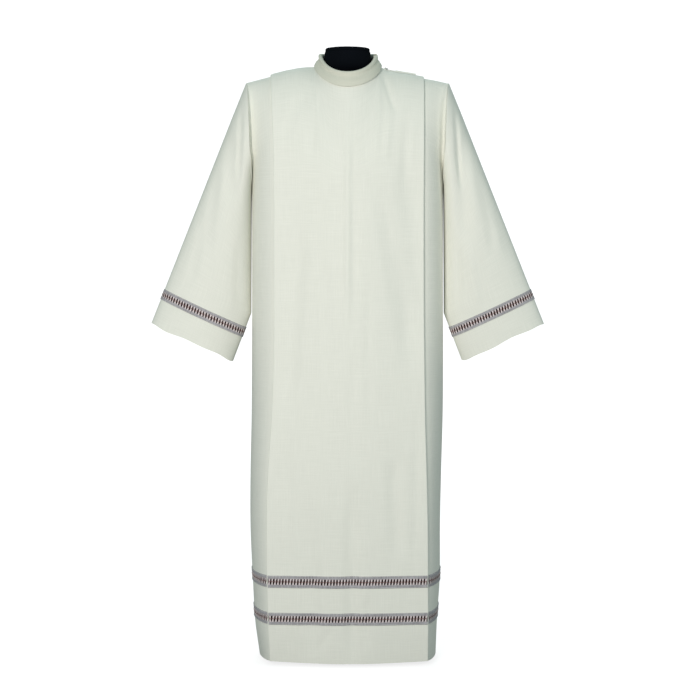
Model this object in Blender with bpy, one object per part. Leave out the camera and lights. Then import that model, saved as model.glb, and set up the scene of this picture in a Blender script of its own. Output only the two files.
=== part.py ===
# Alb robe on a limbless dress form. Metres, +Z up, the robe's front toward -Y.
# The origin is the middle of the base's underside, on the floor.
# "left" and "right" are the sides as seen from the front.

import math

import bmesh
import bpy
import numpy as np

# Cloth and seams
CLOTH = 0.0018
SEAM = 0.0003

# Body: a row for each height, from the hem to the armpit
ARMPIT_Z = 1.17
BODY_COLUMNS = ("z", "side_left", "side_right", "fold_left", "fold_right", "fold_depth", "centre_depth")
BODY_ROWS = np.array(
    (
        (0.008, 0.219, 0.219, 0.1880, 0.1950, 0.128, 0.146),
        (0.102, 0.231, 0.223, 0.1925, 0.1955, 0.132, 0.146),
        (0.131, 0.2325, 0.225, 0.1930, 0.1955, 0.132, 0.146),
        (0.192, 0.2355, 0.229, 0.1945, 0.1950, 0.132, 0.146),
        (0.2213, 0.237, 0.2295, 0.1950, 0.1950, 0.132, 0.146),
        (0.32, 0.241, 0.2295, 0.1960, 0.1945, 0.131, 0.146),
        (0.45, 0.241, 0.232, 0.1935, 0.1920, 0.128, 0.146),
        (0.60, 0.238, 0.236, 0.1840, 0.1880, 0.124, 0.145),
        (0.76, 0.2368, 0.2368, 0.1785, 0.1860, 0.120, 0.144),
        (0.92, 0.2362, 0.2362, 0.1780, 0.1855, 0.117, 0.143),
        (1.06, 0.236, 0.236, 0.1780, 0.1850, 0.115, 0.141),
        (ARMPIT_Z, 0.236, 0.236, 0.1785, 0.1850, 0.111, 0.138),
    )
)

# Hem: how much higher it hangs at the pleats than in the middle
HEM_Z = 0.008
HEM_LIFT = 0.0035
HEM_HEIGHT = 0.094

# Knife pleats: how far the cloth turns under, and the spaces between its three layers, which
# the shoulder seam presses closer
PLEAT_DEPTH = 0.022
PLEAT_UPPER_GAP = 0.0030
PLEAT_LOWER_GAP = 0.0044
PLEAT_UPPER_TOP = 0.0025
PLEAT_LOWER_TOP = 0.0026
PLEAT_REACH = 0.55
PANEL_WIDTH = 0.187
UNDER_SHARE = 0.997
PANEL_STEPS = 10
SIDE_STEPS = (0.14, 0.34, 0.56, 0.78, 1.0)
SIDE_PROBE = 0.02

# Yoke, neckline and shoulders
YOKE_STEPS = 10
NECK_SHARE = 0.4
NECK_X = 0.0785
NECK_FRONT = 0.092
NECK_BACK = 0.068
NECK_Z = 1.463
NECK_DROP = 0.055
NECK_CURVE = 1.2
NECK_SLOPE = 0.72
SLOPE_END = 0.8
NECK_EASE = 0.2
NECK_EASE_REACH = 0.35
FOLD_TOP = {-1: 0.190, 1: 0.188}
RIDGE_COLUMNS = ("x", "z_left", "z_right")
RIDGE_ROWS = np.array(
    (
        (0.0785, 1.4630, 1.4630),
        (0.100, 1.4622, 1.4545),
        (0.120, 1.4605, 1.4505),
        (0.150, 1.4545, 1.4455),
        (0.180, 1.4470, 1.4405),
        (0.210, 1.4375, 1.4345),
        (0.235, 1.4290, 1.4265),
        (0.2505, 1.4225, 1.4215),
    )
)
SHOULDER_X = 0.2505
ARMHOLE_DEPTH = 0.070
ARMHOLE_RISE = 0.35

# Sleeves
SLEEVE_OUTER = ((0.2518, 1.4215), (0.4870, 0.8290))
SLEEVE_INNER = ((0.2386, ARMPIT_Z), (0.2402, 0.8540), (0.2855, 0.7355))
SLEEVE_BEND = 0.8
SLEEVE_ROWS = (0.0, 0.04, 0.10, 0.20, 0.32, 0.46, 0.60, 0.72, SLEEVE_BEND, 0.858, 0.90, 1.0)
SLEEVE_HALF_ROWS = np.array(((0.0, 0.070), (0.3, 0.060), (0.6, 0.052), (1.0, 0.042)))
ARMHOLE_GAP = 0.0005
ARMPIT_GAP = 0.0020
ARMHOLE_SQUARE = 0.4
SLEEVE_BLEND = 0.16

# Largest soft troughs: which face, where each starts and ends, how deep and half how wide
FOLD_FIELDS = ("face", "x0", "z0", "x1", "z1", "depth", "half")
BODY_FOLDS = (
    (-1, 0.085, 1.16, 0.160, 0.700, 0.0052, 0.040),
    (-1, -0.112, 1.08, -0.150, 0.600, 0.0055, 0.034),
    (-1, 0.011, 0.46, 0.013, -0.020, 0.0065, 0.030),
    (-1, 0.110, 0.52, 0.122, 0.250, 0.0045, 0.030),
    (-1, -0.095, 0.40, -0.080, 0.010, 0.0040, 0.032),
    (1, -0.070, 1.12, -0.120, 0.620, 0.0070, 0.032),
    (1, 0.095, 1.05, 0.110, 0.480, 0.0060, 0.034),
    (1, -0.015, 0.58, 0.010, 0.000, 0.0070, 0.032),
)
FOLD_TAPER = 0.3
SLEEVE_FOLDS = (
    (-1, 0.275, 1.30, 0.290, 1.02, 0.0080, 0.032),
    (-1, 0.355, 1.17, 0.415, 0.98, 0.0050, 0.030),
    (-1, -0.285, 1.30, -0.285, 1.12, 0.0060, 0.030),
    (1, 0.285, 1.28, 0.310, 1.04, 0.0070, 0.032),
    (1, -0.290, 1.28, -0.335, 1.00, 0.0070, 0.032),
)

# Ladder trim: a raised border each side of a lower ladder channel
TRIM_BORDER = 0.0075
TRIM_STEP = 0.0004
TRIM_HIGH = 0.0014
TRIM_LOW = 0.0008
TRIM_BANDS = {"upper": (0.192, 0.2213), "lower": (0.102, 0.131)}
SLEEVE_TRIM = (0.858, 0.90)

# Collar: a rolled band. Section points go from the neck seam up, over and down outside.
COLLAR_HEIGHT = {"front": 0.039, "side": 0.032}
COLLAR_CURVE = 3
COLLAR_LEAN = 0.008
COLLAR_ROLL = 0.0042
COLLAR_FALL_OUT = 0.0036
COLLAR_FALL = {"front": -0.0020, "side": 0.0042}
COLLAR_SEAM = 0.0025
COLLAR_SPLIT = math.radians(96)
COLLAR_SPLIT_GAP = math.radians(1.4)
COLLAR_STEP = math.radians(11.25)

# Zip and welt on the right shoulder
ZIP_START = 0.0900
ZIP_END = 0.1690
TAPE_HALF = 0.0070
TAPE_THICK = 0.0007
SLIDER_LENGTH = 0.0085
SLIDER_HALF = 0.0034
SLIDER_HEIGHT = 0.0026
COIL_HALF = 0.0016
COIL_HEIGHT = 0.0015
COIL_SHORT = 0.0010
WELT_START = 0.1180
WELT_THICK = 0.0014
WELT_LIFT = 0.0005
WELT_SECTION = (
    (-0.0095, 0.0),
    (-0.0076, 0.0014),
    (-0.0028, 0.0019),
    (0.0028, 0.0019),
    (0.0076, 0.0014),
    (0.0095, 0.0),
)

# Dress form: a moulded shell, its neck cap, its pole and its base
SHELL = 0.004
FORM_COLUMNS = ("z", "half_width", "half_depth", "middle_y")
FORM_ROWS = (
    (0.800, 0.162, 0.104, 0.0),
    (0.990, 0.140, 0.092, 0.0),
    (1.100, 0.150, 0.098, 0.0),
    (1.200, 0.170, 0.106, 0.0),
    (1.290, 0.188, 0.100, 0.0),
    (1.350, 0.198, 0.086, 0.0),
    (1.395, 0.202, 0.066, 0.0),
    (1.4260, 0.182, 0.038, 0.0),
    (1.4330, 0.160, 0.030, 0.0),
    (1.4455, 0.140, 0.018, 0.0),
    (1.4485, 0.108, 0.020, 0.0),
    (1.4520, 0.070, 0.040, -0.004),
    (1.4680, 0.0600, 0.054, -0.007),
    (1.4990, 0.0570, 0.055, -0.007),
)
FORM_SIDES = 24
NECK_SIDES = 24
CAP_INSET = 0.0015
CAP_HEIGHT = 0.0085
CAP_ROUND = 0.002
POLE_RADIUS = 0.0125
BASE_HALF_WIDTH = 0.165
BASE_HALF_DEPTH = 0.112
BASE_HEIGHT = 0.012
BASE_BEVEL = 0.0025
BASE_SIDES = 40

# Materials: colour, roughness, metallic
MATERIALS = {
    "ivory_cloth": ((0.80, 0.81, 0.74), 0.82, 0.0),
    "grey_trim": ((0.24, 0.22, 0.23), 0.70, 0.0),
    "zip_nylon": ((0.62, 0.62, 0.58), 0.45, 0.0),
    "zip_metal": ((0.55, 0.55, 0.54), 0.32, 1.0),
    "black_form": ((0.010, 0.012, 0.016), 0.75, 0.0),
    "dark_steel": ((0.045, 0.047, 0.050), 0.42, 1.0),
}


def clear_scene():
    for obj in list(bpy.data.objects):
        bpy.data.objects.remove(obj, do_unlink=True)


def make_materials():
    made = {}
    for name, (colour, roughness, metallic) in MATERIALS.items():
        material = bpy.data.materials.new(name)
        material.use_nodes = True
        shader = material.node_tree.nodes["Principled BSDF"]
        shader.inputs["Base Color"].default_value = (*colour, 1.0)
        shader.inputs["Roughness"].default_value = roughness
        shader.inputs["Metallic"].default_value = metallic
        material.diffuse_color = (*colour, 1.0)
        made[name] = material
    return made


def body_size(name, z):
    return float(np.interp(z, BODY_ROWS[:, 0], BODY_ROWS[:, BODY_COLUMNS.index(name)]))


def ridge_height(hand, x):
    column = "z_left" if hand < 0 else "z_right"
    return float(np.interp(x, RIDGE_ROWS[:, 0], RIDGE_ROWS[:, RIDGE_COLUMNS.index(column)]))


def smooth(share):
    share = min(max(share, 0.0), 1.0)
    return share * share * (3 - 2 * share)


def trough(folds, face, x, z):
    """How far the folds draw the cloth in at this place."""
    depth = 0.0
    for row in folds:
        fold = dict(zip(FOLD_FIELDS, row))
        if fold["face"] != face:
            continue
        run_x = fold["x1"] - fold["x0"]
        run_z = fold["z1"] - fold["z0"]
        along = ((x - fold["x0"]) * run_x + (z - fold["z0"]) * run_z) / (run_x**2 + run_z**2)
        along = min(max(along, 0.0), 1.0)
        away = math.hypot(x - fold["x0"] - along * run_x, z - fold["z0"] - along * run_z)
        if away < fold["half"]:
            taper = smooth(along / FOLD_TAPER + 0.15) * smooth((1 - along) / FOLD_TAPER + 0.15)
            depth += fold["depth"] * taper * math.cos(math.pi / 2 * away / fold["half"]) ** 2
    return depth


# The body's smooth surface. face is -1 in front and 1 behind, hand is -1 on the left and 1 on the right.
# share runs from the middle (0) to the pleat's fold (1), and side from the fold (0) to the side seam (1).
# level is a height up to the armpit, and above it ARMPIT_Z plus the share of the yoke.


def skirt_point(face, hand, share, side, z):
    word = "left" if hand < 0 else "right"
    fold_x = body_size("fold_" + word, z)
    fold_y = body_size("fold_depth", z)
    centre_y = body_size("centre_depth", z)
    lift = HEM_LIFT * share**2 * (1 - side) * (1 - smooth((z - HEM_Z) / HEM_HEIGHT))
    if side == 0:
        bulge = 0.6 * (1 + math.cos(math.pi * share)) / 2 + 0.4 * (1 - share**2.2)
        return np.array((hand * share * fold_x, face * (fold_y + (centre_y - fold_y) * bulge), z + lift))
    turn = side * math.pi / 2
    reach = body_size("side_" + word, z) - fold_x
    under = (PLEAT_UPPER_GAP + PLEAT_LOWER_GAP) * (1 - smooth(side / PLEAT_REACH))
    depth = max((fold_y - under) * math.cos(turn), SEAM / 2)
    return np.array((hand * (fold_x + reach * math.sin(turn) ** 2), face * depth, z + lift))


def neck_point(face, turn):
    """The neckline, from the middle of the face (0) to the neck end of the shoulder (a quarter turn)."""
    depth = NECK_FRONT if face < 0 else NECK_BACK
    drop = NECK_DROP if face < 0 else 0.0
    ahead = max(math.cos(turn), 0.0)
    y = face * max(depth * ahead, SEAM / 2)
    return np.array((NECK_X * math.sin(turn), y, NECK_Z - drop * ahead**NECK_CURVE))


def top_point(face, hand, share, side):
    if side == 0 and share < NECK_SHARE:
        point = neck_point(face, share / NECK_SHARE * math.pi / 2)
        return point * (hand, 1, 1)
    if side == 0:
        x = NECK_X + (share - NECK_SHARE) / (1 - NECK_SHARE) * (FOLD_TOP[hand] - NECK_X)
    else:
        x = FOLD_TOP[hand] + side * (SHOULDER_X - FOLD_TOP[hand])
    return np.array((hand * x, face * SEAM / 2, ridge_height(hand, x)))


def eased_top(face, hand, share, side, rise):
    """Where a column's top aims for. Lower down, it is eased across the neck's corner."""
    near = max(1 - abs(share - NECK_SHARE) / NECK_EASE_REACH, 0.0)
    width = NECK_EASE * (1 - rise) * near
    if side or width == 0:
        return top_point(face, hand, share, side)
    steps = (-1.0, -0.5, 0.0, 0.5, 1.0)
    return sum(top_point(face, hand, share + step * width, 0) for step in steps) / len(steps)


def armhole_point(face, hand, rise):
    """The armhole's edge, from the armpit (0) to the shoulder's end (1)."""
    low_x = body_size("side_left", ARMPIT_Z)
    high_z = ridge_height(hand, SHOULDER_X)
    x = low_x + (SHOULDER_X - low_x) * rise**2
    y = face * (ARMHOLE_DEPTH * math.sin(math.pi * rise) + SEAM / 2)
    z = ARMPIT_Z + (high_z - ARMPIT_Z) * (1 - math.cos(math.pi * rise)) / 2
    return np.array((hand * x, y, z))


def shoulder_round(face, share, side):
    """How far the cloth rolls over the shoulder (1) rather than leaning back to the neckline (0)."""
    if side:
        return 1.0
    at_neck = NECK_SLOPE if face < 0 else 1.0
    rest = smooth((share - NECK_SHARE) / (SLOPE_END - NECK_SHARE))
    return at_neck * smooth((share / NECK_SHARE) ** 1.5) + (1 - at_neck) * rest


def body_point(face, hand, share, side, level):
    if level <= ARMPIT_Z:
        return skirt_point(face, hand, share, side, level)
    rise = level - ARMPIT_Z
    low = skirt_point(face, hand, share, side, ARMPIT_Z)
    high = eased_top(face, hand, share, side, rise)
    round_over = shoulder_round(face, share, side)
    up = (1 - round_over) * rise + round_over * math.sin(math.pi / 2 * rise)
    back = (1 - round_over) * rise**1.6 + round_over * (1 - math.cos(math.pi / 2 * rise))
    blend = np.array((smooth(rise), back, up))
    point = low + (high - low) * blend
    if side:
        power = 2 + 5 * (1 - smooth(rise / ARMHOLE_RISE))
        point += side**power * (armhole_point(face, hand, rise) - point)
    return point


def body_normal(face, hand, share, side, level):
    step = 1e-4
    if side == 0:
        low_share = max(share - step, 0.0)
        if abs(share - NECK_SHARE) < step:
            low_share = share
        across = body_point(face, hand, min(share + step, 1.0), 0, level)
        across = across - body_point(face, hand, low_share, 0, level)
        if share < step:
            across = np.array((1.0 * hand, 0.0, 0.0))
    else:
        across = body_point(face, hand, share, min(side + SIDE_PROBE, 1.0), level)
        across = across - body_point(face, hand, share, side - SIDE_PROBE, level)
    high = min(level + step, ARMPIT_Z + 1)
    low = level - step
    if level <= ARMPIT_Z < high:
        high = level
    if low < BODY_ROWS[0, 0]:
        low = level
    rise = body_point(face, hand, share, side, high) - body_point(face, hand, share, side, low)
    normal = -face * np.cross(across * hand, rise)
    on_side_seam = side == 1 and level <= ARMPIT_Z
    on_ridge = level >= ARMPIT_Z + 1 and (side > 0 or share >= NECK_SHARE - 1e-6)
    if on_side_seam or on_ridge:
        normal[1] = 0
    return normal / np.linalg.norm(normal)


def cloth_point(face, hand, share, side, upper_gaps, lower_gaps, level):
    """A point on the pleated cloth's middle layer, with the soft troughs."""
    point = body_point(face, hand, share, side, level)
    rise = max(level - ARMPIT_Z, 0.0)
    upper = PLEAT_UPPER_GAP + (PLEAT_UPPER_TOP - PLEAT_UPPER_GAP) * smooth(rise)
    lower = PLEAT_LOWER_GAP + (PLEAT_LOWER_TOP - PLEAT_LOWER_GAP) * smooth(rise)
    inset = upper_gaps * upper + lower_gaps * lower
    if side:
        reach = PLEAT_REACH + (1 - PLEAT_REACH) * smooth(rise)
        inset = (upper + lower) * (1 - smooth(side / reach)) * (1 - math.cos(math.pi / 2 * rise))
    drawn = trough(BODY_FOLDS, face, point[0], point[2])
    return point - body_normal(face, hand, share, side, level) * (inset + drawn)


def pleated_half():
    """Stations from the middle to the side seam, as (share, side, upper gaps, lower gaps)."""
    upper = 1 - PLEAT_UPPER_GAP / 2 / PANEL_WIDTH
    under = 1 - PLEAT_DEPTH / PANEL_WIDTH
    lower = under + PLEAT_LOWER_GAP / 2 / PANEL_WIDTH
    stations = [(step / PANEL_STEPS, 0, 0.0, 0.0) for step in range(PANEL_STEPS)]
    stations += [(upper, 0, 0.0, 0.0), (1.0, 0, 0.5, 0.0), (upper, 0, 1.0, 0.0)]
    stations += [(lower, 0, 1.0, 0.0), (under, 0, 1.0, 0.5), (lower, 0, 1.0, 1.0), (UNDER_SHARE, 0, 1.0, 1.0)]
    stations += [(1.0, side, 0.0, 0.0) for side in SIDE_STEPS]
    return stations


def grid_normals(points, sign, ring):
    """Unit normals of a grid and how far a wall's corner must reach at each point."""

    def along(axis):
        ahead = np.diff(points, axis=axis)
        ahead = ahead / np.maximum(np.linalg.norm(ahead, axis=2, keepdims=True), 1e-12)
        if axis == 1 and ring:
            wrap = points[:, :1] - points[:, -1:]
            wrap = wrap / np.linalg.norm(wrap, axis=2, keepdims=True)
            after = np.concatenate((ahead, wrap), axis=1)
            before = np.concatenate((wrap, ahead), axis=1)
        else:
            first = np.take(ahead, [0], axis=axis)
            last = np.take(ahead, [-1], axis=axis)
            after = np.concatenate((ahead, last), axis=axis)
            before = np.concatenate((first, ahead), axis=axis)
        return (after + before) / 2

    across = along(1)
    rise = along(0)
    normal = sign * np.cross(across, rise)
    normal = normal / np.linalg.norm(normal, axis=2, keepdims=True)
    reach = 1 / np.maximum(np.linalg.norm(across, axis=2, keepdims=True), 0.62)
    return normal, reach


def solid_between(name, inner, outer, material, ring=False):
    """A closed solid between two grids of points with the same rows and columns."""
    rows, columns = inner.shape[:2]
    mesh = bpy.data.meshes.new(name)
    build = bmesh.new()
    layers = [[[build.verts.new(tuple(p)) for p in row] for row in grid] for grid in (inner, outer)]
    steps = range(columns if ring else columns - 1)
    for row in range(rows - 1):
        for column in steps:
            after = (column + 1) % columns
            for verts in layers:
                a, b = verts[row][column], verts[row][after]
                c, d = verts[row + 1][after], verts[row + 1][column]
                build.faces.new((a, b, c, d))
    low, high = layers
    for row in (0, rows - 1):
        for column in steps:
            after = (column + 1) % columns
            build.faces.new((low[row][column], low[row][after], high[row][after], high[row][column]))
    if not ring:
        for column in (0, columns - 1):
            for row in range(rows - 1):
                above = row + 1
                build.faces.new((low[row][column], low[above][column], high[above][column], high[row][column]))
    return finish_mesh(name, mesh, build, material)


def finish_mesh(name, mesh, build, material):
    bmesh.ops.recalc_face_normals(build, faces=build.faces)
    if build.calc_volume(signed=True) < 0:
        bmesh.ops.reverse_faces(build, faces=build.faces)
    build.to_mesh(mesh)
    build.free()
    mesh.shade_smooth()
    mesh.set_sharp_from_angle(angle=math.radians(50))
    mesh.materials.append(material)
    obj = bpy.data.objects.new(name, mesh)
    bpy.context.scene.collection.objects.link(obj)
    return obj


def make_panel(name, face, material):
    """A front or back panel. Returns its outer points and normals, for what is sewn on it."""
    half = pleated_half()
    columns = [(-1, *station) for station in reversed(half)] + [(1, *station) for station in half[1:]]
    levels = list(BODY_ROWS[:, 0]) + [ARMPIT_Z + step / YOKE_STEPS for step in range(1, YOKE_STEPS + 1)]
    points = np.array([[cloth_point(face, *column, level) for column in columns] for level in levels])
    normals, reach = grid_normals(points, -face, False)
    skirt_rows = len(BODY_ROWS)
    on_ridge = [column[2] > 0 or column[1] >= NECK_SHARE - 1e-6 for column in columns]
    normals[:skirt_rows, 0, 1] = 0
    normals[:skirt_rows, -1, 1] = 0
    normals[-1, on_ridge, 1] = 0
    for row in range(skirt_rows, len(levels)):
        normals[row, [0, -1], 0] *= 1 - seam_square(levels[row] - ARMPIT_Z)
    normals = normals / np.linalg.norm(normals, axis=2, keepdims=True)
    outer = points + normals * reach * CLOTH / 2
    inner = points - normals * reach * CLOTH / 2
    solid_between(name, inner, outer, material)
    return {"outer": outer, "normals": normals, "levels": levels, "columns": columns, "points": points}


def panel_row(panel, columns, z):
    """The panel's outer points and normals at this height, for these columns."""
    above = next(index for index, level in enumerate(panel["levels"]) if level >= z - 1e-9)
    above = max(above, 1)
    low, high = panel["levels"][above - 1], panel["levels"][above]
    share = (z - low) / (high - low)
    points, normals = (
        panel[key][above - 1, columns] * (1 - share) + panel[key][above, columns] * share
        for key in ("outer", "normals")
    )
    return points, normals / np.linalg.norm(normals, axis=1, keepdims=True)


def trim_profile(low, high, border):
    """Heights across a band, each with its thickness."""
    span = high - low
    step = border * TRIM_STEP / TRIM_BORDER
    return (
        (low, TRIM_HIGH),
        (low + border, TRIM_HIGH),
        (low + border + step, TRIM_LOW),
        (low + span - border - step, TRIM_LOW),
        (low + span - border, TRIM_HIGH),
        (high, TRIM_HIGH),
    )


def make_skirt_trims(panels, material):
    front, back = panels
    columns = front["columns"]
    on_panel = [i for i, c in enumerate(columns) if c[2] == 0 and c[3] == 0.0]
    for word, (low, high) in TRIM_BANDS.items():
        profile = trim_profile(low, high, TRIM_BORDER)
        for face_word, panel in (("front", front), ("back", back)):
            inner, outer = [], []
            for z, thick in profile:
                points, normals = panel_row(panel, on_panel, z)
                inner.append(points + normals * SEAM)
                outer.append(points + normals * (SEAM + thick))
            solid_between(f"trim_{word}_{face_word}", np.array(inner), np.array(outer), material)
        for hand, hand_word in ((-1, "left"), (1, "right")):
            side = [i for i, c in enumerate(columns) if c[0] == hand and (c[2] > 0 or c[1] == UNDER_SHARE)]
            if hand > 0:
                side = side[::-1]
            inner, outer = [], []
            for z, thick in profile:
                ahead, ahead_normals = panel_row(front, side, z)
                behind, behind_normals = panel_row(back, side, z)
                middle = (ahead[:1] + behind[:1]) / 2
                points = np.concatenate((ahead[:0:-1], middle, behind[1:]))
                normals = np.concatenate((ahead_normals[:0:-1], ahead_normals[:1], behind_normals[1:]))
                inner.append(points + normals * SEAM)
                outer.append(points + normals * (SEAM + thick))
            solid_between(f"trim_{word}_side_{hand_word}", np.array(inner), np.array(outer), material)


def seam_square(rise):
    """How far the armhole's edges are squared to meet each other, from the armpit (0) up."""
    return smooth(rise / ARMHOLE_SQUARE)


def sleeve_half(t):
    return float(np.interp(t, SLEEVE_HALF_ROWS[:, 0], SLEEVE_HALF_ROWS[:, 1]))


def sleeve_point(hand, t, turn):
    """turn runs from the sleeve's top (0) over its front to the underarm (half a turn) and up its back."""
    outer = [a + (b - a) * t for a, b in zip(*SLEEVE_OUTER)]
    if t <= SLEEVE_BEND:
        inner = [a + (b - a) * t / SLEEVE_BEND for a, b in zip(SLEEVE_INNER[0], SLEEVE_INNER[1])]
    else:
        share = (t - SLEEVE_BEND) / (1 - SLEEVE_BEND)
        inner = [a + (b - a) * share for a, b in zip(SLEEVE_INNER[1], SLEEVE_INNER[2])]
    swing = math.cos(turn)
    x = (outer[0] + inner[0]) / 2 + (outer[0] - inner[0]) / 2 * swing
    z = (outer[1] + inner[1]) / 2 + (outer[1] - inner[1]) / 2 * swing
    hanging = np.array((hand * x, -math.sin(turn) * sleeve_half(t), z))
    face = -1 if turn <= math.pi else 1
    rise = 1 - (turn if face < 0 else 2 * math.pi - turn) / math.pi
    gap = ARMHOLE_GAP + ARMPIT_GAP * (1 - seam_square(rise))
    edge = armhole_point(face, hand, rise) + np.array((hand * gap, 0, 0))
    point = edge + (hanging - edge) * smooth(t / SLEEVE_BLEND)
    drawn = trough(SLEEVE_FOLDS, face, point[0], point[2]) * abs(math.sin(turn))
    return point - np.array((0, face * drawn, 0))


def make_sleeve(hand, word, cloth, trim):
    turns = [2 * math.pi * step / (2 * YOKE_STEPS) for step in range(2 * YOKE_STEPS)]
    points = np.array([[sleeve_point(hand, t, turn) for turn in turns] for t in SLEEVE_ROWS])
    normals, reach = grid_normals(points, hand, True)
    for column, turn in enumerate(turns):
        normals[0, column, 0] *= 1 - seam_square(1 - min(turn, 2 * math.pi - turn) / math.pi)
    normals = normals / np.linalg.norm(normals, axis=2, keepdims=True)
    outer = points + normals * reach * CLOTH / 2
    inner = points - normals * reach * CLOTH / 2
    solid_between("sleeve_" + word, inner, outer, cloth, ring=True)
    low, high = (SLEEVE_ROWS.index(t) for t in SLEEVE_TRIM)
    width = np.linalg.norm(points[high, 0] - points[low, 0])
    trim_inner, trim_outer = [], []
    for share, thick in trim_profile(0.0, 1.0, TRIM_BORDER * 0.93 / width):
        row = outer[low] + (outer[high] - outer[low]) * share
        way = normals[low] + (normals[high] - normals[low]) * share
        way = way / np.linalg.norm(way, axis=1, keepdims=True)
        trim_inner.append(row + way * SEAM)
        trim_outer.append(row + way * (SEAM + thick))
    solid_between("trim_sleeve_" + word, np.array(trim_inner), np.array(trim_outer), trim, ring=True)


def collar_frame(turn):
    """The neckline at this angle from the front, its outward direction, and the front's share."""
    ahead = math.cos(turn)
    depth = NECK_FRONT if ahead > 0 else NECK_BACK
    drop = NECK_DROP * max(ahead, 0.0) ** NECK_CURVE
    point = np.array((NECK_X * math.sin(turn), -depth * ahead, NECK_Z - drop))
    out = np.array((point[0] / NECK_X**2, point[1] / depth**2, 0.0))
    return point, out / np.linalg.norm(out), max(ahead, 0.0)


def collar_section(turn):
    point, out, ahead = collar_frame(turn)
    height = COLLAR_HEIGHT["side"] + (COLLAR_HEIGHT["front"] - COLLAR_HEIGHT["side"]) * ahead**COLLAR_CURVE
    stand = COLLAR_SEAM
    fall = COLLAR_FALL["side"] + (COLLAR_FALL["front"] - COLLAR_FALL["side"]) * ahead
    shoulder = height - COLLAR_ROLL
    half = COLLAR_ROLL * math.sqrt(0.5)
    section = (
        (-0.0012, stand),
        (-0.0012 + (-COLLAR_LEAN - COLLAR_ROLL + 0.0012) * 0.55, shoulder * 0.5),
        (-COLLAR_LEAN - COLLAR_ROLL, shoulder),
        (-COLLAR_LEAN - half, shoulder + half),
        (-COLLAR_LEAN, height),
        (-COLLAR_LEAN + half, shoulder + half),
        (-COLLAR_LEAN + COLLAR_ROLL, shoulder),
        ((COLLAR_FALL_OUT - COLLAR_LEAN + COLLAR_ROLL) / 2 - 0.0008, (shoulder + fall) / 2),
        (COLLAR_FALL_OUT, fall),
    )
    return [point + out * away + np.array((0, 0, up)) for away, up in section]


def make_collar(material):
    first = COLLAR_SPLIT + COLLAR_SPLIT_GAP / 2
    last = COLLAR_SPLIT + 2 * math.pi - COLLAR_SPLIT_GAP / 2
    inside = range(math.ceil(first / COLLAR_STEP), math.floor(last / COLLAR_STEP) + 1)
    turns = [first] + [step * COLLAR_STEP for step in inside] + [last]
    points = np.array([collar_section(turn) for turn in turns])
    normals, reach = grid_normals(points, 1, False)
    half_wall = normals * reach * CLOTH / 2
    solid_between("collar", points - half_wall, points + half_wall, material)


def ridge_line(panels, xs):
    """Outer points along the right shoulder's ridge and one row down its front and back."""
    front, back = panels
    columns = [i for i, c in enumerate(front["columns"]) if c[0] > 0 and c[2] == 0 and c[3] == 0.0]
    columns = [i for i in columns if front["points"][-1, i, 0] >= NECK_X - 1e-6]
    lines = []
    for panel, row in ((front, -2), (front, -1), (back, -1), (back, -2)):
        place = panel["outer"][row, columns]
        at = front["outer"][-1, columns, 0]
        lines.append(np.array([[np.interp(x, at, place[:, k]) for k in range(3)] for x in xs]))
    ridge = (lines[1] + lines[2]) / 2
    return ridge, lines[0], lines[3]


def ridge_stations(panels, start, end):
    front = panels[0]
    columns = [i for i, c in enumerate(front["columns"]) if c[0] > 0 and c[2] == 0 and c[3] == 0.0]
    marks = [front["outer"][-1, i, 0] for i in columns]
    return [start] + [x for x in marks if start + 0.001 < x < end - 0.001] + [end]


def ridge_row(panels, xs, y):
    """Points on the shoulder at this distance behind the ridge (less than 0 is in front)."""
    ridge, front, back = ridge_line(panels, xs)
    other = front if y < 0 else back
    share = abs(y) / np.abs(other[:, 1:2])
    return ridge + (other - ridge) * share


def ridge_up(panels, xs):
    ridge = ridge_line(panels, xs)[0]
    along = np.gradient(ridge, axis=0)
    up = np.stack((-along[:, 2], np.zeros(len(xs)), along[:, 0]), axis=1)
    return up / np.linalg.norm(up, axis=1, keepdims=True)


def make_zip(panels, materials):
    xs = ridge_stations(panels, ZIP_START, ZIP_END)
    up = ridge_up(panels, xs)
    lift = SEAM + 0.0001
    rows = [ridge_row(panels, xs, y) for y in (-TAPE_HALF, -1e-6, TAPE_HALF)]
    inner = np.array([row + up * lift for row in rows])
    outer = np.array([row + up * (lift + TAPE_THICK) for row in rows])
    solid_between("zip_tape", inner, outer, materials["ivory_cloth"])

    top = lift + TAPE_THICK + SEAM
    slider = ZIP_START + 0.001
    coil = slider + SLIDER_LENGTH + SEAM
    for name, start, end, half, height, material in (
        ("zip_slider", slider, slider + SLIDER_LENGTH, SLIDER_HALF, SLIDER_HEIGHT, "zip_metal"),
        ("zip_coil", coil, WELT_START - COIL_SHORT, COIL_HALF, COIL_HEIGHT, "zip_nylon"),
    ):
        xs = ridge_stations(panels, start, end)
        up = ridge_up(panels, xs)
        ridge = ridge_line(panels, xs)[0]
        side = np.array((0, 1, 0))
        inner = np.array([ridge + up * top - side * half, ridge + up * top + side * half])
        slim = half * 0.8
        crown = ridge + up * (top + height)
        outer = np.array([crown - side * slim, crown + side * slim])
        solid_between(name, inner, outer, materials[material])

    xs = ridge_stations(panels, WELT_START, ZIP_END)
    up = ridge_up(panels, xs)
    inner, outer = [], []
    for y, rise in WELT_SECTION:
        row = ridge_row(panels, xs, y)
        inner.append(row + up * (WELT_LIFT + rise))
        outer.append(row + up * (WELT_LIFT + rise + WELT_THICK))
    solid_between("shoulder_welt", np.array(inner), np.array(outer), materials["ivory_cloth"])


def oval(half_width, half_depth, z, sides, middle_y=0.0):
    turns = [2 * math.pi * step / sides for step in range(sides)]
    return [(half_width * math.cos(turn), middle_y + half_depth * math.sin(turn), z) for turn in turns]


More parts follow.
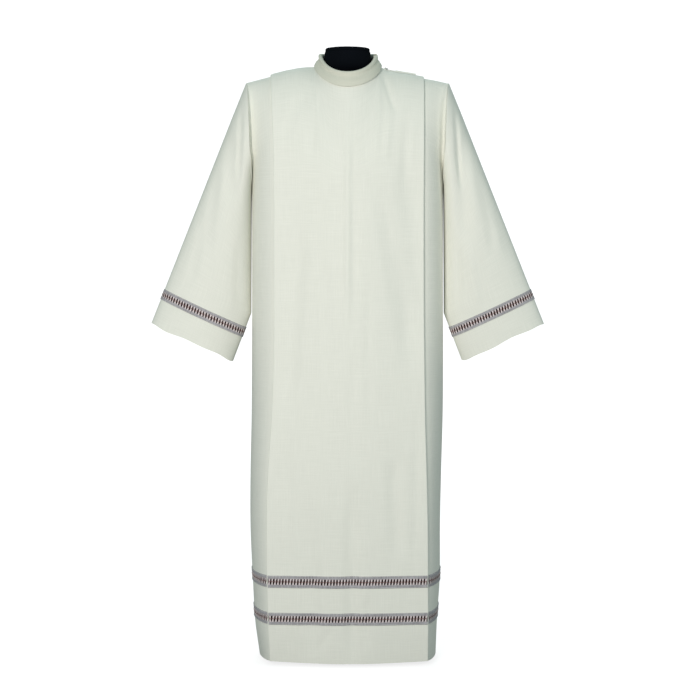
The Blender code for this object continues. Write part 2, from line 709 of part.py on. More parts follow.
def make_lofted(name, rings, material, cap_first=True, cap_last=True):
    """A closed solid through rings of points, in order, with its first and last rings filled."""
    mesh = bpy.data.meshes.new(name)
    build = bmesh.new()
    made = [[build.verts.new(point) for point in ring] for ring in rings]
    for low, high in zip(made, made[1:]):
        count = len(low)
        for step in range(count):
            after = (step + 1) % count
            build.faces.new((low[step], low[after], high[after], high[step]))
    if cap_first:
        build.faces.new(made[0][::-1])
    if cap_last:
        build.faces.new(made[-1])
    return finish_mesh(name, mesh, build, material)


def make_form(materials):
    black = materials["black_form"]
    outside = [oval(w, d, z, FORM_SIDES, y) for z, w, d, y in FORM_ROWS]
    inside = []
    for index, (z, w, d, y) in enumerate(FORM_ROWS):
        low = FORM_ROWS[max(index - 1, 0)]
        high = FORM_ROWS[min(index + 1, len(FORM_ROWS) - 1)]
        slope = math.hypot(high[0] - low[0], high[1] - low[1])
        sideways = (high[0] - low[0]) / slope
        down = min((low[1] - high[1]) / slope, 1.0)
        if index == 0:
            inside.append(oval(w - SHELL, d - SHELL, z, FORM_SIDES, y))
        elif index < len(FORM_ROWS) - 1:
            narrow = w - SHELL * max(sideways, 0.35)
            inside.append(oval(narrow, d - SHELL, z - SHELL * max(down, 0.0), FORM_SIDES, y))
        else:
            inside.append(oval(w - SHELL, d - SHELL, z - SHELL, FORM_SIDES, y))
    make_lofted("form_body", outside[::-1] + inside, black)

    z, w, d, y = FORM_ROWS[-1]
    low = z + SEAM
    cap = tuple(
        oval(w - inset, d - inset, low + up, NECK_SIDES, y)
        for inset, up in (
            (CAP_INSET, 0.0),
            (CAP_INSET, CAP_HEIGHT - CAP_ROUND),
            (CAP_INSET + CAP_ROUND * 0.3, CAP_HEIGHT - CAP_ROUND * 0.3),
            (CAP_INSET + CAP_ROUND, CAP_HEIGHT),
        )
    )
    make_lofted("form_cap", cap, black)

    foot = BASE_HEIGHT + SEAM
    head = z - SHELL - SEAM
    pole = (oval(POLE_RADIUS, POLE_RADIUS, foot, 20), oval(POLE_RADIUS, POLE_RADIUS, head, 20))
    make_lofted("form_pole", pole, materials["dark_steel"])

    plate = (
        oval(BASE_HALF_WIDTH, BASE_HALF_DEPTH, 0.0, BASE_SIDES),
        oval(BASE_HALF_WIDTH, BASE_HALF_DEPTH, BASE_HEIGHT - BASE_BEVEL, BASE_SIDES),
        oval(BASE_HALF_WIDTH - BASE_BEVEL, BASE_HALF_DEPTH - BASE_BEVEL, BASE_HEIGHT, BASE_SIDES),
    )
    make_lofted("form_base", plate, materials["dark_steel"])


def main():
    clear_scene()
    materials = make_materials()
    cloth = materials["ivory_cloth"]
    trim = materials["grey_trim"]
    panels = (make_panel("front", -1, cloth), make_panel("back", 1, cloth))
    make_skirt_trims(panels, trim)
    for hand, word in ((-1, "left"), (1, "right")):
        make_sleeve(hand, word, cloth, trim)
    make_collar(cloth)
    make_zip(panels, materials)
    make_form(materials)


main()
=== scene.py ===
import math

import bmesh
import bpy
import numpy as np
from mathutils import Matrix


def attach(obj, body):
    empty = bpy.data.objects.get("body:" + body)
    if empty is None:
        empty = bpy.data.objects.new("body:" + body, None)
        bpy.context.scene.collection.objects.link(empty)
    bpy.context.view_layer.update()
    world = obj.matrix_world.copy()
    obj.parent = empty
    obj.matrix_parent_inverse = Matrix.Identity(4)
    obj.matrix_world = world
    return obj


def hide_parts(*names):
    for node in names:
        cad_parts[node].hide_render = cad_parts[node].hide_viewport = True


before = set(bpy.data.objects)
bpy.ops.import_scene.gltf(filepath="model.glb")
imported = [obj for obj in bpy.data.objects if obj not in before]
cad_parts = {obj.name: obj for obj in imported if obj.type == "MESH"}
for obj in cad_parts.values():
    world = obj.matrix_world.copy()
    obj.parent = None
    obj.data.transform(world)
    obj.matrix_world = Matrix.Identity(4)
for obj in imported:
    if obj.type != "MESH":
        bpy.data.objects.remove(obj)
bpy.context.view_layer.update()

# Cream alb with ladder trim on a black dress form. Metres, +Z up, the front toward -Y.
# face is -1 in front and 1 behind, hand is -1 on the photo's left and 1 on its right.

cloth = {"wall": 0.0018, "seam": 0.0003, "leastBend": 0.62, "sharpTurn": 50, "threadSharpTurn": 60}
nearly = 1e-6

body = {
    "armpit": 1.17,
    "columns": ("z", "sideLeft", "sideRight", "foldLeft", "foldRight", "foldDepth", "centreDepth"),
    "rows": np.array((
        (0.008, 0.219, 0.219, 0.1880, 0.1950, 0.128, 0.146),
        (0.102, 0.231, 0.223, 0.1925, 0.1955, 0.132, 0.146),
        (0.131, 0.2325, 0.225, 0.1930, 0.1955, 0.132, 0.146),
        (0.192, 0.2355, 0.229, 0.1945, 0.1950, 0.132, 0.146),
        (0.2213, 0.237, 0.2295, 0.1950, 0.1950, 0.132, 0.146),
        (0.32, 0.241, 0.2295, 0.1960, 0.1945, 0.131, 0.146),
        (0.45, 0.241, 0.232, 0.1935, 0.1920, 0.128, 0.146),
        (0.60, 0.238, 0.236, 0.1840, 0.1880, 0.124, 0.145),
        (0.76, 0.2368, 0.2368, 0.1785, 0.1860, 0.120, 0.144),
        (0.92, 0.2362, 0.2362, 0.1780, 0.1855, 0.117, 0.143),
        (1.06, 0.236, 0.236, 0.1780, 0.1850, 0.115, 0.141),
        (1.17, 0.236, 0.236, 0.1785, 0.1850, 0.111, 0.138),
    )),
    "skirtRows": 150,
    "yokeRows": 44,
    "roundShare": 0.6,
    "roundPower": 2.2,
    "girthRow": 60,
}

hem = {"z": 0.008, "lift": 0.0035, "height": 0.094}

pleat = {"deep": 0.022, "upperGap": 0.0030, "lowerGap": 0.0044, "upperTop": 0.0025, "lowerTop": 0.0026,
         "reach": 0.55, "panel": 0.187, "turnSteps": 9, "sideSteps": 31,
         "flats": ((0.975, 46), (0.985, 5), (0.997, 6)), "pastTurn": 0.006}

neck = {"share": 0.4, "x": 0.0785, "front": 0.092, "back": 0.068, "z": 1.463, "drop": 0.055, "curve": 1.2,
        "ease": 0.2, "easeReach": 0.35}

shoulder = {
    "slope": 0.72,
    "slopeEnd": 0.8,
    "foldTop": {-1: 0.190, 1: 0.188},
    "x": 0.2505,
    "armhole": 0.070,
    "armholeRise": 0.35,
    "neckPower": 1.5,
    "backPower": 1.6,
    "sidePower": (2, 5),
    "ridge": np.array((
        (0.0785, 1.4630, 1.4630),
        (0.100, 1.4622, 1.4545),
        (0.120, 1.4605, 1.4505),
        (0.150, 1.4545, 1.4455),
        (0.180, 1.4470, 1.4405),
        (0.210, 1.4375, 1.4345),
        (0.235, 1.4290, 1.4265),
        (0.2505, 1.4225, 1.4215),
    )),
}

sleeve = {
    "outer": ((0.2518, 1.4215), (0.4870, 0.8290)),
    "inner": ((0.2386, 1.17), (0.2402, 0.8540), (0.2855, 0.7355)),
    "bend": 0.8,
    "half": np.array(((0.0, 0.070), (0.3, 0.060), (0.6, 0.052), (1.0, 0.042))),
    "gap": 0.0005,
    "armpitGap": 0.0020,
    "square": 0.4,
    "blend": 0.16,
    "trim": (0.858, 0.90),
    "waves": ((0.0030, 3, 0, 0.8), (0.0018, 7, 1.3, 0)),
    "waveFrom": 0.93,
    "rows": 120,
    "turns": 144,
    "girthRow": 80,
    "middleColumn": 36,
}

# Soft troughs (depth over 0) and ridges: face, start x and z, end x and z, depth, half width, bend
creaseFields = ("face", "x0", "z0", "x1", "z1", "depth", "half", "bend")
creaseFade, broadStart = 0.3, 0.15  # the share over which a crease fades, and a broad one's least strength
broadCreases = (
    (-1, 0.085, 1.16, 0.160, 0.700, 0.0052, 0.040),
    (-1, -0.112, 1.08, -0.150, 0.600, 0.0055, 0.034),
    (-1, 0.011, 0.46, 0.013, -0.020, 0.0065, 0.030),
    (-1, 0.110, 0.52, 0.122, 0.250, 0.0045, 0.030),
    (-1, -0.095, 0.40, -0.080, 0.010, 0.0040, 0.032),
    (1, -0.070, 1.12, -0.120, 0.620, 0.0070, 0.032),
    (1, 0.095, 1.05, 0.110, 0.480, 0.0060, 0.034),
    (1, -0.015, 0.58, 0.010, 0.000, 0.0070, 0.032),
)
bodyCreases = (
    (-1, 0.001, 1.37, 0.000, 0.78, -0.0036, 0.013, 0.000),
    (-1, 0.022, 1.20, 0.020, 0.80, 0.0016, 0.020, 0.002),
    (-1, 0.148, 1.30, 0.176, 0.72, 0.0078, 0.056, 0.000),
    (-1, 0.088, 1.45, 0.125, 1.33, 0.0040, 0.012, 0.004),
    (-1, 0.100, 1.37, 0.090, 1.22, -0.0025, 0.016, -0.003),
    (-1, 0.150, 1.36, 0.140, 1.14, 0.0022, 0.018, 0.004),
    (-1, -0.100, 1.40, -0.150, 1.26, 0.0020, 0.022, 0.010),
    (-1, -0.062, 1.40, -0.090, 1.22, 0.0016, 0.018, 0.004),
    (-1, -0.060, 1.02, -0.048, 0.64, 0.0018, 0.022, -0.005),
    (-1, 0.052, 0.98, 0.060, 0.55, 0.0016, 0.020, 0.006),
    (-1, 0.020, 0.80, 0.012, 0.44, 0.0018, 0.024, 0.004),
    (-1, -0.030, 0.72, -0.022, 0.30, 0.0012, 0.022, -0.004),
    (-1, -0.145, 0.58, -0.135, 0.16, 0.0020, 0.020, 0.004),
    (-1, 0.165, 0.62, 0.160, 0.20, 0.0018, 0.018, -0.003),
    (-1, -0.030, 0.10, -0.090, 0.02, 0.0012, 0.012, 0.000),
    (-1, 0.050, 0.19, 0.044, 0.03, 0.0020, 0.018, 0.000),
    (1, 0.050, 1.36, 0.030, 0.90, 0.0044, 0.024, 0.006),
    (1, -0.130, 1.34, -0.095, 1.02, 0.0037, 0.020, -0.006),
    (1, 0.140, 1.30, 0.150, 0.88, 0.0041, 0.022, 0.004),
    (1, -0.025, 1.10, -0.045, 0.66, -0.0034, 0.022, 0.004),
    (1, 0.060, 0.74, 0.075, 0.22, 0.0048, 0.024, -0.006),
    (1, -0.110, 0.56, -0.095, 0.08, 0.0044, 0.022, 0.005),
    (1, 0.140, 0.42, 0.130, 0.04, 0.0037, 0.020, 0.000),
)
broadSleeveCreases = (
    (-1, 0.275, 1.30, 0.290, 1.02, 0.0080, 0.032),
    (-1, 0.355, 1.17, 0.415, 0.98, 0.0050, 0.030),
    (-1, -0.285, 1.30, -0.285, 1.12, 0.0060, 0.030),
    (1, 0.285, 1.28, 0.310, 1.04, 0.0070, 0.032),
    (1, -0.290, 1.28, -0.335, 1.00, 0.0070, 0.032),
)
sleeveCreases = (
    (-1, -0.262, 1.38, -0.268, 1.16, 0.0052, 0.011, -0.003),
    (-1, -0.310, 1.24, -0.345, 0.98, 0.0029, 0.020, 0.006),
    (-1, -0.350, 1.10, -0.400, 0.90, 0.0023, 0.020, -0.004),
    (-1, -0.270, 1.05, -0.272, 0.86, 0.0026, 0.016, 0.000),
    (-1, 0.264, 1.39, 0.282, 1.14, 0.0055, 0.011, 0.004),
    (-1, 0.320, 1.20, 0.360, 0.98, 0.0029, 0.020, -0.006),
    (-1, 0.272, 1.05, 0.276, 0.86, 0.0029, 0.016, 0.000),
    (-1, 0.300, 1.02, 0.330, 0.84, -0.0023, 0.018, 0.004),
    (1, -0.266, 1.36, -0.276, 1.12, 0.0052, 0.012, 0.003),
    (1, -0.330, 1.16, -0.380, 0.94, 0.0031, 0.020, -0.005),
    (1, 0.268, 1.37, 0.280, 1.10, 0.0049, 0.012, -0.003),
    (1, 0.335, 1.18, 0.385, 0.95, 0.0031, 0.020, 0.005),
)


def deselect():
    if bpy.context.object and bpy.context.object.mode != "OBJECT":
        bpy.ops.object.mode_set(mode="OBJECT")
    bpy.ops.object.select_all(action="DESELECT")


def unit(vectors):
    return vectors / np.linalg.norm(vectors, axis=-1, keepdims=True)


def curveThrough(at, marks, values):
    slopes = np.gradient(values, marks)
    low = np.clip(np.searchsorted(marks, at) - 1, 0, len(marks) - 2)
    span = marks[low + 1] - marks[low]
    t = np.clip((at - marks[low]) / span, 0, 1)
    a, b = values[low], values[low + 1]
    rise, fall = slopes[low] * span, slopes[low + 1] * span
    return a + t * rise + t**2 * (3 * (b - a) - 2 * rise - fall) + t**3 * (2 * (a - b) + rise + fall)


def bodySize(name, z):
    return curveThrough(z, body["rows"][:, 0], body["rows"][:, body["columns"].index(name)])


def ridgeHeight(hand, x):
    return np.interp(x, shoulder["ridge"][:, 0], shoulder["ridge"][:, 1 if hand < 0 else 2])


def smooth(share):
    share = np.clip(share, 0, 1)
    return share * share * (3 - 2 * share)


def drawnIn(face, x, z, broad, fine):
    total = np.zeros(np.broadcast(x, z).shape)
    for row in broad + fine:
        crease = dict(zip(creaseFields, row))
        if crease["face"] != face:
            continue
        runX, runZ = crease["x1"] - crease["x0"], crease["z1"] - crease["z0"]
        pastX, pastZ = x - crease["x0"], z - crease["z0"]
        run = math.hypot(runX, runZ)
        along = (pastX * runX + pastZ * runZ) / run**2
        t = np.clip(along, 0, 1)
        if "bend" in crease:  # fine creases bow a little and die away at both ends
            away = np.abs((pastX * runZ - pastZ * runX) / run - crease["bend"] * 4 * t * (1 - t))
            fade = smooth(along / creaseFade) * smooth((1 - along) / creaseFade)
        else:
            away = np.hypot(pastX - t * runX, pastZ - t * runZ)
            fade = smooth(t / creaseFade + broadStart) * smooth((1 - t) / creaseFade + broadStart)
        total += crease["depth"] * fade * np.cos(math.pi / 2 * np.clip(away / crease["half"], 0, 1)) ** 2
    return total


def skirtPoint(face, hand, share, side, z):
    word = "Left" if hand < 0 else "Right"
    foldX, foldY = bodySize("fold" + word, z), bodySize("foldDepth", z)
    lift = hem["lift"] * share**2 * (1 - side) * (1 - smooth((z - hem["z"]) / hem["height"]))
    swell = body["roundShare"] * (1 + np.cos(math.pi * share)) / 2
    bulge = swell + (1 - body["roundShare"]) * (1 - share ** body["roundPower"])
    turn = side * math.pi / 2
    onSide = side > 0
    x = np.where(onSide, foldX + (bodySize("side" + word, z) - foldX) * np.sin(turn) ** 2, share * foldX)
    under = (pleat["upperGap"] + pleat["lowerGap"]) * (1 - smooth(side / pleat["reach"]))
    depth = np.maximum((foldY - under) * np.cos(turn), cloth["seam"] / 2)
    y = np.where(onSide, depth, foldY + (bodySize("centreDepth", z) - foldY) * bulge)
    return np.stack((hand * x, face * y, z + lift + 0 * x), -1)


def topPoint(face, hand, share, side):
    turn = np.clip(share / neck["share"], 0, 1) * math.pi / 2
    ahead = np.maximum(np.cos(turn), 0)
    drop = neck["drop"] if face < 0 else 0
    depth = neck["front"] if face < 0 else neck["back"]
    inNeck = (side == 0) & (share < neck["share"])
    past = neck["x"] + (share - neck["share"]) / (1 - neck["share"]) * (shoulder["foldTop"][hand] - neck["x"])
    past = np.where(side > 0, shoulder["foldTop"][hand] + side * (shoulder["x"] - shoulder["foldTop"][hand]), past)
    x = np.where(inNeck, neck["x"] * np.sin(turn), past)
    y = np.where(inNeck, np.maximum(depth * ahead, cloth["seam"] / 2), cloth["seam"] / 2)
    z = np.where(inNeck, neck["z"] - drop * ahead ** neck["curve"], ridgeHeight(hand, past))
    return np.stack((hand * x, face * y, z), -1)


def easedTop(face, hand, share, side, rise):
    # lower down, a column's top is eased across the neck's corner
    near = np.maximum(1 - np.abs(share - neck["share"]) / neck["easeReach"], 0)
    width = np.where(side > 0, 0, neck["ease"] * (1 - rise) * near)
    return sum(topPoint(face, hand, share + step * width, side) for step in (-1, -0.5, 0, 0.5, 1)) / 5


def armholePoint(face, hand, rise):
    low = body["rows"][-1, 1]
    x = low + (shoulder["x"] - low) * rise**2
    y = shoulder["armhole"] * np.sin(math.pi * rise) + cloth["seam"] / 2
    z = body["armpit"] + (ridgeHeight(hand, shoulder["x"]) - body["armpit"]) * (1 - np.cos(math.pi * rise)) / 2
    return np.stack((hand * x, face * y, z), -1)


def bodyPoint(face, hand, share, side, level):
    rise = np.clip(level - body["armpit"], 0, 1)
    low = skirtPoint(face, hand, share, side, np.minimum(level, body["armpit"]))
    high = easedTop(face, hand, share, side, rise)
    atNeck = shoulder["slope"] if face < 0 else 1
    rest = smooth((share - neck["share"]) / (shoulder["slopeEnd"] - neck["share"]))
    roll = atNeck * smooth((share / neck["share"]) ** shoulder["neckPower"]) + (1 - atNeck) * rest
    roll = np.where(side > 0, 1, roll)
    up = (1 - roll) * rise + roll * np.sin(math.pi / 2 * rise)
    back = (1 - roll) * rise ** shoulder["backPower"] + roll * (1 - np.cos(math.pi / 2 * rise))
    point = low + (high - low) * np.stack((smooth(rise), back, up), -1)
    hole = armholePoint(face, hand, rise)
    least, more = shoulder["sidePower"]
    power = least + more * (1 - smooth(rise / shoulder["armholeRise"]))
    return point + np.where((rise > 0) & (side > 0), side**power, 0)[..., None] * (hole - point)


def bodyNormal(face, hand, share, side, level):
    step, probe = 1e-4, 0.02
    onSide = side > 0
    lowShare = np.where(np.abs(share - neck["share"]) < step, share, np.maximum(share - step, 0))
    lowShare = np.where(onSide, share, lowShare)
    highShare = np.where(onSide, share, np.minimum(share + step, 1))
    highSide = np.where(onSide, np.minimum(side + probe, 1), 0)
    lowSide = np.where(onSide, np.maximum(side - probe, 0), 0)
    across = bodyPoint(face, hand, highShare, highSide, level) - bodyPoint(face, hand, lowShare, lowSide, level)
    across[share < step] = (hand, 0, 0)
    high = np.minimum(level + step, body["armpit"] + 1)
    high = np.where((level <= body["armpit"]) & (high > body["armpit"]), level, high)
    low = np.maximum(level - step, body["rows"][0, 0])
    rise = bodyPoint(face, hand, share, side, high) - bodyPoint(face, hand, share, side, low)
    normal = -face * np.cross(across * hand, rise)
    onRidge = (level >= body["armpit"] + 1) & (onSide | (share >= neck["share"] - nearly))
    flat = ((side == 1) & (level <= body["armpit"])) | onRidge
    normal[..., 1] = np.where(flat, 0, normal[..., 1])
    return unit(normal)


def gridNormals(points, sign, ring=False):
    def along(axis):
        ahead = np.diff(points, axis=axis)
        ahead = ahead / np.maximum(np.linalg.norm(ahead, axis=2, keepdims=True), 1e-12)
        if axis == 1 and ring:
            wrap = unit(points[:, :1] - points[:, -1:])
            return (np.concatenate((ahead, wrap), 1) + np.concatenate((wrap, ahead), 1)) / 2
        first, last = np.take(ahead, [0], axis=axis), np.take(ahead, [-1], axis=axis)
        return (np.concatenate((ahead, last), axis) + np.concatenate((first, ahead), axis)) / 2

    across, rise = along(1), along(0)
    normal = unit(sign * np.cross(across, rise))
    bent = np.minimum(np.linalg.norm(across, axis=2, keepdims=True), np.linalg.norm(rise, axis=2, keepdims=True))
    return normal, 1 / np.maximum(bent, cloth["leastBend"])


def wallGrids(points, normals, reach):
    half = normals * reach * cloth["wall"] / 2
    return points - half, points + half


def clothUv(across, up):
    return np.stack((across[None, :] + 0 * up[:, None], up[:, None] + 0 * across[None, :]), -1)


def makeSheet(name, inner, outer, uv, ring=False, slots=None):
    # a closed wall between two grids; uv has one more column than a ring's grid
    rows, columns = inner.shape[:2]
    index = np.arange(rows * columns).reshape(rows, columns)
    if ring:
        index = np.concatenate((index, index[:, :1]), 1)
    far = rows * columns
    grid = np.arange(uv.shape[0] * uv.shape[1]).reshape(uv.shape[:2])

    def quads(table):
        return np.stack((table[:-1, :-1], table[:-1, 1:], table[1:, 1:], table[1:, :-1]), -1).reshape(-1, 4)

    faces = [quads(index + far), quads(index)[:, ::-1]]
    marks = [quads(grid), quads(grid)[:, ::-1]]
    edges = [(index[0], grid[0]), (index[-1][::-1], grid[-1][::-1])]
    if not ring:
        edges += [(index[::-1, 0], grid[::-1, 0]), (index[:, -1], grid[:, -1])]
    for run, mark in edges:
        faces.append(np.stack((run[:-1], run[1:], run[1:] + far, run[:-1] + far), -1))
        marks.append(np.stack((mark[:-1], mark[1:], mark[1:], mark[:-1]), -1))
    faces, marks = np.concatenate(faces), np.concatenate(marks)
    mesh = bpy.data.meshes.new(name)
    places = np.concatenate((inner.reshape(-1, 3), outer.reshape(-1, 3)))
    mesh.from_pydata(places.tolist(), [], faces.tolist())
    layer = mesh.uv_layers.new(name="cloth")
    layer.data.foreach_set("uv", uv.reshape(-1, 2)[marks.ravel()].ravel().astype(np.float32))
    if slots is not None:
        mesh.polygons.foreach_set("material_index", slots)
    return linkedPiece(mesh, cloth["sharpTurn"])


def linkedPiece(mesh, sharpTurn):
    # every face looks outward, and only edges past the turn are sharp
    work = bmesh.new()
    work.from_mesh(mesh)
    bmesh.ops.recalc_face_normals(work, faces=work.faces)
    if work.calc_volume(signed=True) < 0:
        bmesh.ops.reverse_faces(work, faces=work.faces)
    work.to_mesh(mesh)
    work.free()
    mesh.shade_smooth()
    mesh.set_sharp_from_angle(angle=math.radians(sharpTurn))
    piece = bpy.data.objects.new(mesh.name, mesh)
    bpy.context.scene.collection.objects.link(piece)
    return piece


def joinedMesh(name, places, faces):
    mesh = bpy.data.meshes.new(name)
    mesh.from_pydata(places.tolist(), [], faces)
    return linkedPiece(mesh, cloth["threadSharpTurn"])


def tubeFaces(first, rings, sides):
    # the sides and both ends of a tube whose points come ring by ring
    faces = []
    for ring in range(rings - 1):
        for side in range(sides):
            a, b = (first + ring * sides + turn % sides for turn in (side, side + 1))
            faces.append((a, b, b + sides, a + sides))
    ends = (first + np.arange(sides)[::-1], first + (rings - 1) * sides + np.arange(sides))
    return faces + [tuple(end.tolist()) for end in ends]


def runLengths(points, axis):
    steps = np.linalg.norm(np.diff(points, axis=axis), axis=2)
    return np.insert(np.cumsum(steps, axis=axis), 0, 0, axis=axis)


def rowsBetween(made, marks, places, columns=slice(None)):
    # a made sheet's outer points and normals at places along its rows' marks
    above = np.searchsorted(marks, places)
    share = ((places - marks[above - 1]) / (marks[above] - marks[above - 1]))[:, None, None]
    points, normals = (
        made[key][above - 1][:, columns] * (1 - share) + made[key][above][:, columns] * share
        for key in ("outer", "normals")
    )
    return points, unit(normals)


# Front and back panels


def panelStations():
    # (share, side, upper gaps, lower gaps) from the middle to the side seam, each fold a half-round turn
    upper, lower = pleat["upperGap"] / 2 / pleat["panel"], pleat["lowerGap"] / 2 / pleat["panel"]
    under = 1 - pleat["deep"] / pleat["panel"]
    turns = np.linspace(0, math.pi, pleat["turnSteps"])
    (faceEnd, faceSteps), (midStart, midSteps), (lastEnd, lastSteps) = pleat["flats"]
    past = under + lower + pleat["pastTurn"]
    stations = [(share, 0, 0, 0) for share in np.linspace(0, faceEnd, faceSteps)]
    stations += [(1 - upper * (1 - math.sin(turn)), 0, (1 - math.cos(turn)) / 2, 0) for turn in turns]
    stations += [(share, 0, 1, 0) for share in np.linspace(midStart, past, midSteps)]
    stations += [(under + lower * (1 - math.sin(turn)), 0, 1, (1 - math.cos(turn)) / 2) for turn in turns]
    stations += [(share, 0, 1, 1) for share in np.linspace(past, lastEnd, lastSteps)]
    stations += [(1.0, side, 0, 0) for side in np.linspace(0, 1, pleat["sideSteps"])[1:]]
    return np.array(stations)


def pleatInset(side, upperGaps, lowerGaps, level):
    # the shoulder seam presses the pleat's layers closer
    rise = np.clip(level - body["armpit"], 0, 1)
    upper = pleat["upperGap"] + (pleat["upperTop"] - pleat["upperGap"]) * smooth(rise)
    lower = pleat["lowerGap"] + (pleat["lowerTop"] - pleat["lowerGap"]) * smooth(rise)
    reach = pleat["reach"] + (1 - pleat["reach"]) * smooth(rise)
    onSide = (upper + lower) * (1 - smooth(side / reach)) * (1 - np.cos(math.pi / 2 * rise))
    return np.where(side > 0, onSide, upperGaps * upper + lowerGaps * lower)


def makePanel(name, face):
    half = panelStations()
    left, right = half[::-1], half[1:]
    levels = np.concatenate((
        np.linspace(body["rows"][0, 0], body["armpit"], body["skirtRows"]),
        body["armpit"] + np.linspace(0, 1, body["yokeRows"] + 1)[1:],
    ))
    parts = []
    for hand, stations in ((-1, left), (1, right)):
        share, side, upperGaps, lowerGaps = (stations[None, :, k] + 0 * levels[:, None] for k in range(4))
        level = levels[:, None] + 0 * share
        inset = pleatInset(side, upperGaps, lowerGaps, level)
        point = bodyPoint(face, hand, share, side, level)
        drawn = drawnIn(face, point[..., 0], point[..., 2], broadCreases, bodyCreases)
        parts.append(point - bodyNormal(face, hand, share, side, level) * (inset + drawn)[..., None])
    points = np.concatenate(parts, 1)
    normals, reach = gridNormals(points, -face)
    skirt = body["skirtRows"]
    share = np.concatenate((left[:, 0], right[:, 0]))
    # the walls stay square to their seams: at the sides, on the shoulder ridge and in the armholes
    normals[:skirt, [0, -1], 1] = 0
    normals[-1, share >= neck["share"] - nearly, 1] = 0
    square = smooth((levels[skirt:] - body["armpit"]) / sleeve["square"])
    normals[skirt:, [0, -1], 0] *= 1 - square[:, None]
    normals = unit(normals)
    inner, outer = wallGrids(points, normals, reach)
    across = runLengths(points[body["girthRow"]][None], 1)[0]
    across = across - across[len(across) // 2]
    up = runLengths(points[:, len(left) - 1:len(left)], 0)[:, 0]
    piece = makeSheet(name, inner, outer, clothUv(across, up))
    return {"piece": piece, "outer": outer, "normals": normals, "levels": levels,
            "stations": np.concatenate((left, right)), "hands": np.array([-1] * len(left) + [1] * len(right))}


front = makePanel("frontPanel", -1)
back = makePanel("backPanel", 1)
print("panels made")


# Sleeves


def sleevePoint(hand, t, turn):
    outer = [a + (b - a) * t for a, b in zip(*sleeve["outer"])]
    low, bend, end = sleeve["inner"]
    past = (t - sleeve["bend"]) / (1 - sleeve["bend"])
    inner = [
        np.where(t <= sleeve["bend"], a + (b - a) * t / sleeve["bend"], b + (c - b) * past)
        for a, b, c in zip(low, bend, end)
    ]
    swing = np.cos(turn)
    x = (outer[0] + inner[0]) / 2 + (outer[0] - inner[0]) / 2 * swing
    z = (outer[1] + inner[1]) / 2 + (outer[1] - inner[1]) / 2 * swing
    half = curveThrough(t, sleeve["half"][:, 0], sleeve["half"][:, 1])
    hanging = np.stack((hand * x, -np.sin(turn) * half, z), -1)
    face = np.where(turn <= math.pi, -1, 1)
    rise = 1 - np.where(face < 0, turn, 2 * math.pi - turn) / math.pi
    gap = sleeve["gap"] + sleeve["armpitGap"] * (1 - smooth(rise / sleeve["square"]))
    edge = armholePoint(face, hand, rise) + np.stack((hand * gap, 0 * gap, 0 * gap), -1)
    point = edge + (hanging - edge) * smooth(t / sleeve["blend"])[..., None]
    drawn = [drawnIn(f, point[..., 0], point[..., 2], broadSleeveCreases, sleeveCreases) for f in (-1, 1)]
    drawn = np.where(face < 0, drawn[0], drawn[1]) * np.abs(np.sin(turn))
    point[..., 1] -= face * drawn
    return point


def makeSleeve(name, hand):
    ts = np.linspace(0, 1, sleeve["rows"])
    turns = np.linspace(0, 2 * math.pi, sleeve["turns"] + 1)[:-1]
    # the cuff's edge isn't quite straight
    wave = sum(high * np.sin(count * turns + start + swing * hand) for high, count, start, swing in sleeve["waves"])
    waved = smooth((ts[:, None] - sleeve["waveFrom"]) / (1 - sleeve["waveFrom"]))
    points = sleevePoint(hand, ts[:, None] + wave * waved, turns + 0 * ts[:, None])
    normals, reach = gridNormals(points, hand, True)
    rise = 1 - np.minimum(turns, 2 * math.pi - turns) / math.pi
    normals[0, :, 0] *= 1 - smooth(rise / sleeve["square"])
    normals = unit(normals)
    inner, outer = wallGrids(points, normals, reach)
    closed = np.concatenate((points, points[:, :1]), 1)
    around = runLengths(closed[sleeve["girthRow"]][None], 1)[0]
    down = runLengths(points[:, sleeve["middleColumn"]][:, None], 0)[:, 0]
    piece = makeSheet(name, inner, outer, clothUv(around, down), ring=True)
    return {"piece": piece, "outer": outer, "normals": normals, "levels": ts}


leftSleeve = makeSleeve("leftSleeve", -1)
rightSleeve = makeSleeve("rightSleeve", 1)
print("sleeves made")


# Collar: a rolled band, stand inside and fall outside, split at the photo's right

collar = {
    "front": 0.0355, "side": 0.032, "back": 0.038, "curve": 3,
    "lean": 0.008, "leanLeft": 0.0035, "roll": 0.0042, "hollow": 0.0010, "hollowDrop": 0.0060,
    "seam": 0.0025, "seamIn": 0.0012, "standShare": 0.55,
    "out": 0.0036, "outRight": 0.0024, "bow": 0.0006, "fallFront": -0.0020, "fallSide": 0.0042,
    "split": math.radians(96), "splitGap": math.radians(1.4),
    "corner": math.radians(22), "cornerDrop": 0.0060,
    "turns": 150, "ring": 44, "lengthRow": 20, "girthTurn": 70,
}


